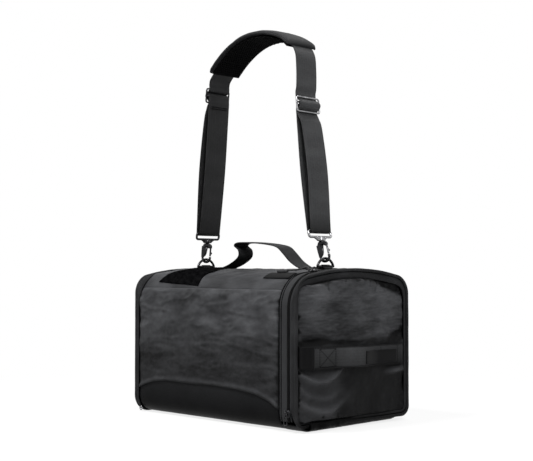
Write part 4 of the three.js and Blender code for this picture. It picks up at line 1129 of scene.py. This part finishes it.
for side in SIDES:
    seat = Matrix.Translation((RING_X[side], 0, RING_CENTRE_Z + RING_ARC))
    hang = seat @ Matrix.Rotation(HOOK_LEAN[side], 4, "Y")
    turned = hang @ Matrix.Rotation(SWIVEL_TURN, 4, "Z")

    frame_corners = [(0, 23.4, HOOK_DROP), (0, -23.4, HOOK_DROP), (0, -23.4, 31.6), (0, 23.4, 31.6)]
    frame_line = softened(frame_corners, 3.6) * MM
    shoulders = [(26.2, 0, 1.7, 8.2), (28.0, 0, 1.8, 9.6), (30.0, 0, 1.7, 13.4), (32.0, 0, 1.5, 16.5)]
    socket = [(25.6, 0, 3.9, 3.9), (27.4, 0, 4.2, 4.2), (29.6, 0, 4.1, 4.1), (31.8, 0, 2.4, 3.6)]
    loop_parts = [
        rod("frame", frame_line, 1.75 * MM, closed=True),
        lofted("shoulders", capped(shoulders)),
        lofted("socket", capped(socket), 2.0)]
    for k in (-8.5, -6.5, 6.5, 8.5):
        rib_line = np.array([(1.7, k, 29.4), (1.9, k * 1.02, 30.6), (1.5, k * 1.06, 32.4)]) * MM
        loop_parts.append(rod("rib", smooth_path(rib_line, 0.5 * MM), 0.45 * MM, sides=8))
    casting(f"{side}_loop_casting", loop_parts, hang, LOOP_METAL[side], "strap", f"{side}_hook_loop")

    bow_turns = np.linspace(math.pi, 2 * math.pi, 26)
    bow = [(-HOOK_BOW, 0, z) for z in (20.5, 14, 8)]
    bow += [(HOOK_BOW * math.cos(t), 0, BOW_CENTRE + HOOK_BOW * math.sin(t)) for t in bow_turns]
    bow.append((HOOK_BOW, 0, 4.4))
    bow_path = smooth_path(np.array(bow) * MM, 0.6 * MM)
    climbed = np.linspace(0, 1, len(bow_path))
    girth = (2.7 - 0.85 * bounded((climbed - 0.22) / 0.2)) * MM
    heel_turns = np.linspace(1.12 * math.pi, 1.88 * math.pi, 20)
    heel = [(HEEL_BOW * math.cos(t), 0, BOW_CENTRE + HEEL_BOW * math.sin(t)) for t in heel_turns]
    heel_girth = 1.85 * bounded(np.sin(np.linspace(0.12, math.pi - 0.12, 20)) * 3) ** 0.5
    neck_back = [(16.0, -5.8, 2.5, 2.4), (18.4, -4.4, 3.9, 3.0), (23.2, -2.6, 3.6, 3.3)]
    web = [(3.4, -6.4, 2.2, 1.9), (5.8, -5.2, 3.4, 2.2), (9.0, -4.6, 4.2, 2.4), (20.0, -3.6, 5.0, 2.8)]
    body_parts = [
        rod("bow", bow_path, girth, sides=18),
        rod("heel", np.array(heel) * MM, heel_girth * MM, sides=18),
        lofted("neck_back", capped(neck_back), 2.8),
        lofted("web", capped(web)),
        lofted("neck_cap", capped([(20.6, 0.1, 6.2, 3.2), (24.6, 0, 5.6, 3.4)]), 3.0)]
    cheek = capped([(18.2, 5.2, 2.4, 0.6), (21.0, 5.0, 2.9, 0.65), (23.6, 3.4, 3.2, 0.65)])
    for move in (-2.3, 2.3):
        body_parts.append(lofted("cheek", cheek, 2.6))
        body_parts[-1].data.transform(Matrix.Translation((0, move * MM, 0)))
    body_parts.append(lofted("post", [(23.4, 0, 1.55, 1.55), (30.2, 0, 1.55, 1.55)], 2.0))
    casting(f"{side}_hook_casting", body_parts, turned, BLACK_NICKEL, f"{side}_hook", f"{side}_hook_body")

    gate_line = np.array([(HOOK_BOW, 0, z) for z in (5.4, 12, 19, 21.6)]) * MM
    knob_line = np.linspace((HOOK_BOW + 0.9, 0, 10.2), (HOOK_BOW + 3.0, 0, 10.2), 5) * MM
    gate_parts = [rod("blade", smooth_path(gate_line, 0.6 * MM), 1.4 * MM, sides=14),
        rod("knob", knob_line, np.array([1.0, 1.7, 1.75, 1.5, 0.8]) * MM, sides=14)]
    casting(f"{side}_gate_blade", gate_parts, turned, GATE_METAL[side], f"{side}_gate", f"{side}_hook_gate")

    pin_line = [(HOOK_BOW * MM, y * MM, 20.55 * MM) for y in (-3.1, -2.4, 0, 2.4, 3.1)]
    pin = rod("pin", pin_line, np.array([0.9, 1.0, 0.65, 1.0, 0.9]) * MM, sides=12)
    casting(f"{side}_gate_rivet", [pin], turned, BLACK_NICKEL, f"{side}_hook", f"{side}_gate_pin")

# ---- shoulder strap ----
# One length of ribbed webbing. At each end it runs down round a hook's bar, back up through a
# tri-glide, and is sewn to itself; the glides let its length be set.
STRAP_WEB = finish_of("strap_webbing", (0.010, 0.0102, 0.0108), (0.028, 0.0284, 0.0295), 0.46, 0.64, 24,
    0.9, (2.0, 1.2, 0.6), 0.20, 0.06, specular=0.12, toned=True)
STRAP_THICK = 1.6
STRAP_GAP = 0.3
BAR_REACH = 3 * math.sqrt(0.5)
GLIDE_REACH = 12
GLIDE_WIRE = 1.5
STRAP_WIDTH = 42.4 * MM
GLIDES = {}
for side in SIDES:
    low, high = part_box(f"{side}_glide")
    GLIDES[side] = np.array([(low.x + high.x) / 2, (low.z + high.z) / 2]) / MM


def hook_bar(side):
    """The middle of a hook's bar in X and Z, in millimetres."""
    lean = HOOK_LEAN[side]
    seat_z = (RING_CENTRE_Z + RING_ARC) / MM
    return np.array([RING_X[side] / MM + HOOK_DROP * math.sin(lean), seat_z + HOOK_DROP * math.cos(lean)])


def lower_loop(bar, glide, outward):
    """One lower loop's line in X and Z, in millimetres, from the glide's middle bar down round the
    hook's bar and back up through the glide. outward is -1 on the left and 1 on the right."""
    length = np.linalg.norm(glide - bar)
    up = (glide - bar) / length
    out = np.array([up[1], -up[0]]) * outward
    half = STRAP_THICK / 2
    bend = BAR_REACH + STRAP_GAP + half + 0.2
    wrap = BAR_REACH + STRAP_GAP + half
    over = wrap + STRAP_THICK + STRAP_GAP
    through = GLIDE_WIRE + 2 * STRAP_GAP + half
    under = through + STRAP_THICK + STRAP_GAP
    bars = GLIDE_REACH - GLIDE_WIRE
    slot = (wrap + half + GLIDE_REACH - 2 * GLIDE_WIRE) / 2
    turned_back = [(wrap * math.cos(t), length + wrap * math.sin(t)) for t in np.arange(-1, 5) * math.pi / 4]
    bottom = [(-bend * math.cos(t), -bend * math.sin(t)) for t in np.arange(0, 5) * math.pi / 4]

    def weave(way):
        return [(-through, length + way * (bars + 2)), (-through, length + way * bars),
            (-through + 0.3, length + way * (bars - 1.9)), (-through + 2.3, length + way * (slot + 0.2)),
            (0.62 * over, length + way * 0.83 * over)]

    line = [*turned_back, (-under + 0.7, length - slot + 1), (-under, length - bars),
        (-under, length - bars - 3), (-bend - 2, length * 0.8), (-bend - 3, length * 0.45),
        (-bend - 0.6, 12), *bottom, (bend + 0.6, 12), (bend + 4, length * 0.45),
        (bend + 1, length * 0.8), (0, length - bars - 9), *weave(-1), (over, length),
        *reversed(weave(1)), (-through + 0.4, length + bars + 8)]
    return [bar + out * u + up * v for u, v in line]


ARCH = [(-103, 511), (-90, 524), (-71, 540), (-47, 554), (-20, 562.5), (12, 563.5), (41, 557), (63, 546),
    (76, 529), (79, 505), (79, 480)]
left_loop = lower_loop(hook_bar("left"), GLIDES["left"], -1)
right_loop = lower_loop(hook_bar("right"), GLIDES["right"], 1)[::-1]


def lengthwise(points, step):
    """A strap line in X and Z made an even path in space."""
    flat = smooth_path(np.array(points, float) * MM, step)
    return stacked(flat[:, 0], 0 * flat[:, 0], flat[:, 1])


ACROSS = np.array([0, -1.0, 0])
strap_path = lengthwise([*left_loop, *ARCH, *right_loop], 1.1 * MM)
strap = ribbon("strap_web", strap_path, ACROSS, STRAP_WIDTH, STRAP_THICK * MM, 0.12 * MM)
corners = corners_of(strap)
on_left = corners[:, 0] < 0
above_bar = corners[:, 2] - np.where(on_left, hook_bar("left")[1], hook_bar("right")[1]) * MM
# Painted light and shade: the strap darkens down towards each hook's bar, and the left end stays in painted
# shade while the right end is lit.
set_tone(strap, 0.03 + np.where(on_left, 0.24, 0.78) * bounded((above_bar + 1 * MM) / (26 * MM)) ** 0.8)
dress(strap, STRAP_WEB, "webbing", "strap", "strap_webbing")

runs = []
for side, outward in (("left", -1), ("right", 1)):
    bar, glide = hook_bar(side), GLIDES[side]
    up = unit(glide - bar)
    out = np.array([up[1], -up[0]]) * outward
    length = np.linalg.norm(glide - bar)
    for drop in (17, 20):
        spot = bar + up * (length - drop) - out * 6.9
        ends = [(spot[0], -17, spot[1]), (spot[0], 17, spot[1])]
        runs.append(thread_run(np.linspace(*np.array(ends) * MM, 12), (-out[0], 0, -out[1])))
sewn("strap_stitches", runs, "strap")

for side in SIDES:
    lean = math.atan2(*(GLIDES[side] - hook_bar(side)))
    x, z = GLIDES[side] * MM
    stand = Matrix.Translation((x, 0, z)) @ Matrix.Rotation(lean, 4, "Y")
    frame_corners = [(0, 23.6, 10.6), (0, -23.6, 10.6), (0, -23.6, -10.6), (0, 23.6, -10.6)]
    frame_line = softened(frame_corners, 3.4) * MM
    bar_line = np.linspace((0, -22.5, 0), (0, 22.5, 0), 8) * MM
    parts = [rod("frame", frame_line, 1.3 * MM, closed=True), rod("bar", bar_line, 1.25 * MM)]
    casting(f"{side}_tri_glide", parts, stand, LOOP_METAL[side], "strap", f"{side}_glide")

# ---- shoulder pad ----
# A quilted foam pad sewn into a tube round the webbing, with a bound edge and a rubbery underside
# covered in small dots that keeps it from slipping.
PAD_COVER = finish_of("pad_cloth", (0.006, 0.0061, 0.0066), (0.017, 0.0173, 0.0185), 0.5, 0.7, 20, 1.0,
    (1.2, 1.2, 0.0), 0.12, 0.08, specular=0.08)
GRIP_RUBBER = finish_of("dotted_rubber", (0.0006, 0.0006, 0.0007), (0.0020, 0.0020, 0.0022), 0.5, 0.7, 16,
    0.8, grain=0.05, specular=0.015)
PAD_WIDTH = 62 * MM
PAD_MARGIN = 3 * MM
DOT_SPACING = 4.2
arch_path = lengthwise([left_loop[-1], *ARCH, right_loop[0]], 1.0 * MM)
from_row = np.argmax((arch_path[:, 0] > -97 * MM) & (arch_path[:, 2] > 515 * MM))
to_row = len(arch_path) - 1 - np.argmax(((arch_path[:, 0] < 71 * MM) & (arch_path[:, 2] > 536 * MM))[::-1])
pad_path = arch_path[from_row:to_row + 1]
pad_forward = unit(np.gradient(pad_path, axis=0))
pad_out = unit(np.cross(pad_forward, np.broadcast_to(ACROSS, pad_path.shape)))
pad_out = pad_out * np.sign(pad_out[:, 2:3])
pad_run = np.arange(len(pad_path)) * MM
pad_share = pad_run / pad_run[-1]
profile = rounded(1.0, 1.0, 56, 3.2)
end_round = bounded(np.minimum(pad_share, 1 - pad_share) * pad_run[-1] / (9 * MM))
half_width = (PAD_WIDTH / 2) * (0.86 + 0.14 * np.sin(end_round * math.pi / 2))
half_thick = 5.1 * MM * (0.42 + 0.58 * np.sin(end_round * math.pi / 2) ** 0.7)
side_share = profile[:, 0][None, :]
puffed = 1 - 0.32 * np.abs(side_share) ** 4
along_pad = pad_run[:, None] + 0 * side_share
dimple = crumple(along_pad, side_share * 31 * MM + 0 * along_pad, 17 * MM, 8.3, 2)
lift = 1.6 * MM + profile[:, 1][None, :] * half_thick[:, None] * puffed + 0.45 * MM * dimple
points = (pad_path[:, None] + ACROSS * (half_width[:, None] * side_share)[..., None]
    + pad_out[:, None] * lift[..., None])
points[:, -1] = points[:, 0]
pad = grid_piece("shoulder_cushion", points, closed=True)
dress(pad, PAD_COVER, "pad_cover", "strap", "shoulder_pad")

edge_parts = []
for way in (-1, 1):
    edge_path = pad_path + ACROSS * (way * (half_width - 0.4 * MM))[:, None] + pad_out * 0.4 * MM
    edge_parts.append(rod("edge", edge_path[2:-2], 1.7 * MM, sides=12))
pad_edging = joined("pad_edging", edge_parts)
dress(pad_edging, RIM_TAPE, "pad_cover", "strap")

grip_width = PAD_WIDTH - 2 * PAD_MARGIN
inner = pad_path[3:-3] - pad_out[3:-3] * 4.3 * MM
grip_sheet = ribbon("grip_sheet", inner, ACROSS, grip_width, 1.1 * MM)
bpy.ops.object.select_all(action="DESELECT")
bpy.ops.mesh.primitive_uv_sphere_add(segments=8, ring_count=5, radius=1.15 * MM)
dot = bpy.context.object
dots = []
for row, step in enumerate(np.arange(4, len(inner) - 4, DOT_SPACING)):
    k = int(step)
    start = -grip_width / 2 + 2.4 * MM + (row % 2) * DOT_SPACING / 2 * MM
    for place in np.arange(start, grip_width / 2 - 2 * MM, DOT_SPACING * MM):
        dots.append(inner[k] + ACROSS * place - pad_out[k + 3] * 0.6 * MM)
corners = corners_of(dot)
faces = [tuple(face.vertices) for face in dot.data.polygons]
all_corners = (np.array(dots)[:, None] + corners[None]).reshape(-1, 3)
all_faces = [tuple(v + k * len(corners) for v in face) for k in range(len(dots)) for face in faces]
made = bpy.data.meshes.new("grip_dots")
made.from_pydata(all_corners.tolist(), [], all_faces)
dot.data = made
dot.name = "grip_dots"
bpy.ops.object.shade_smooth()
grip = joined("pad_grip_sheet", [grip_sheet, dot])
dress(grip, GRIP_RUBBER, "pad_grip", "strap", "pad_grip")

# ---- sliders and pulls ----
# Die-cast sliders ride the coils. Each has a wire pull on its bridge; the top one also has a cord
# with a moulded grip, for fingers.
GRIP_PLASTIC = finish_of("pull_grip_plastic", (0.016, 0.016, 0.017), (0.040, 0.040, 0.042), 0.35, 0.5, 5,
    0.6, grain=0.04, specular=0.3)
CORD_NYLON = finish_of("braided_cord", (0.009, 0.009, 0.0095), (0.02, 0.02, 0.021), 0.5, 0.66, 6, 0.5,
    (0.9, 1.1, 1.0), 0.12, 0.03, specular=0.3)
CORD_RADIUS = 1.2 * MM
ZIP_MIDDLE = 146.15
PIVOT_LIFT = 5.2
PARKED_Y = -58 * MM
crown_middle = Matrix.Translation((0, 0, CROWN_TOP - CROWN_RADIUS))
parked = crown_middle @ Matrix.Rotation(math.asin(-PARKED_Y / CROWN_RADIUS), 4, "X")
on_crown = parked @ Matrix.Translation((0, 0, CROWN_RADIUS))
SLIDER_LOW, SLIDER_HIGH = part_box("low_slider")
slider_height = (SLIDER_LOW.z + SLIDER_HIGH.z) / 2
on_front = Matrix.Translation((0, -HALF_WIDTH, slider_height)) @ Matrix.Rotation(math.pi / 2, 4, "X")


def slider_piece(name, node, stand, body):
    """Two shield-shaped plates with a turned-in flange along one side and a bridge over them."""
    parts = []
    for low, high, wide in ((0.9, 2.1, 4.6), (2.1, 3.2, 4.0)):
        rows = []
        for z, shrink in ((low, 0.9), (low + 0.25, 1.0), (high - 0.3, 1.0), (high, 0.86)):
            profile = rounded(wide * shrink, 4.9 * shrink, 28, 3.4)
            taper = 1 - 0.16 * bounded(profile[:, 1] / 4.9)
            rows.append(stacked(ZIP_MIDDLE + profile[:, 0] * taper, profile[:, 1], np.full(29, z)))
        parts.append(grid_piece("plate", np.array(rows) * MM, closed=True))
    flange = [(ZIP_MIDDLE - 3.9, -4.4, 0.9), (ZIP_MIDDLE - 4.3, 0, 0.7), (ZIP_MIDDLE - 3.9, 4.4, 0.9)]
    parts.append(rod("flange", smooth_path(np.array(flange) * MM, 0.6 * MM), 0.7 * MM, sides=10))
    bridge = [(ZIP_MIDDLE, -3.2, 3.0), (ZIP_MIDDLE, -3.0, 5.4), (ZIP_MIDDLE, -1.6, 6.5),
        (ZIP_MIDDLE, 1.6, 6.5), (ZIP_MIDDLE, 3.0, 5.4), (ZIP_MIDDLE, 3.2, 3.0)]
    parts.append(rod("bridge", smooth_path(np.array(bridge) * MM, 0.4 * MM), 0.85 * MM, sides=12))
    casting(name, parts, stand, BLACK_NICKEL, body, node)


def pull_piece(name, node, stand, body):
    """A wire frame hinged under the bridge, with a cross bar for the cord."""
    line = softened([(-2.5, 0, 0), (2.5, 0, 0), (2.6, -14.2, 0), (-2.6, -14.2, 0)], 1.5) * MM
    place = np.array([ZIP_MIDDLE, 0, PIVOT_LIFT]) * MM
    parts = [rod("frame", line + place, 0.72 * MM, closed=True, sides=12),
        rod("bar", np.linspace((-2.3, -7, 0), (2.3, -7, 0), 6) * MM + place, 0.7 * MM, sides=12)]
    casting(name, parts, stand, BLACK_NICKEL, body, node)


slider_piece("top_slider_casting", "top_slider", on_crown, "top_slider")
slider_piece("low_slider_casting", "low_slider", on_front, "low_slider")
pull_piece("top_pull_wire", "top_pull_tab", on_crown, "top_pull")
pull_piece("low_pull_wire", "low_pull_tab", on_front, "low_pull")

cord_line = np.array([(ZIP_MIDDLE, -10.5, PIVOT_LIFT - 2.2), (ZIP_MIDDLE, -10.5, PIVOT_LIFT + 1.4),
    (ZIP_MIDDLE - 3.5, -10.5, PIVOT_LIFT + 2.8), (ZIP_MIDDLE - 12, -9.5, PIVOT_LIFT + 1.2),
    (ZIP_MIDDLE - 26, -8.5, 4.2), (104.3, -7.5, 3.4)]) * MM
cord_path = smooth_path(cord_line, 0.7 * MM)
cord_path = np.array([on_crown @ Vector(p) for p in cord_path])
cord_piece = rod("puller_cord", cord_path, CORD_RADIUS, sides=12)
dress(cord_piece, CORD_NYLON, "webbing", "top_pull", "top_puller_cord")

grip_rows = []
for z, shrink in ((0.4, 0.7), (0.9, 0.92), (1.6, 1.0), (3.6, 1.0), (4.5, 0.9), (4.9, 0.66)):
    profile = rounded(10 * (1 - 0.12 * (1 - shrink)), 4.0 * shrink, 36, 3.0)
    waist = 1 - 0.16 * bell(profile[:, 0], 3.5, 3.2)
    grip_rows.append(stacked(94 + profile[:, 0], -7.5 + profile[:, 1] * waist, np.full(37, z)))
grip_parts = [grid_piece("puller_grip_block", np.array(grip_rows) * MM, closed=True)]
for x in (88, 90.2, 92.4, 94.6):
    rib_line = np.linspace((x, -10.0, 4.75), (x, -5.0, 4.75), 6) * MM
    grip_parts.append(rod("rib", rib_line, 0.45 * MM, sides=8))
grip_block = casting("puller_grip", grip_parts, on_crown, GRIP_PLASTIC, "top_pull", "top_puller_grip",
    slot="zip_plastic")

# ---- corner eyelet ----
# A small ring of black nickel plated wire, given the lighter copy with its painted reflection,
# caught in the seam at the plain end's lower front corner, where a tag could hang.
EYELET_RADIUS = 2.6 * MM
EYELET_WIRE = 0.9 * MM
EYELET_LOW, EYELET_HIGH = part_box("corner_eyelet")
middle = (Vector(EYELET_LOW) + Vector(EYELET_HIGH)) / 2
turns = np.linspace(0, 2 * math.pi, 30, endpoint=False)
loop_line = stacked(middle.x + EYELET_RADIUS * np.cos(turns), np.full(30, middle.y),
    middle.z + EYELET_RADIUS * np.sin(turns))
eyelet = rod("eyelet_ring", loop_line, EYELET_WIRE, closed=True, sides=12)
dress(eyelet, PAINTED_LIT_NICKEL, "black_nickel", "bag", "corner_eyelet")

# ---- base board ----
# A stiff board lies inside the bag under its lining, and keeps the bottom flat. It is hidden when the
# flap is closed, and keeps its own plain shape.
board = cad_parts["base_board"]
board.data.materials.clear()
board.data.materials.append(TRAY_COATED)
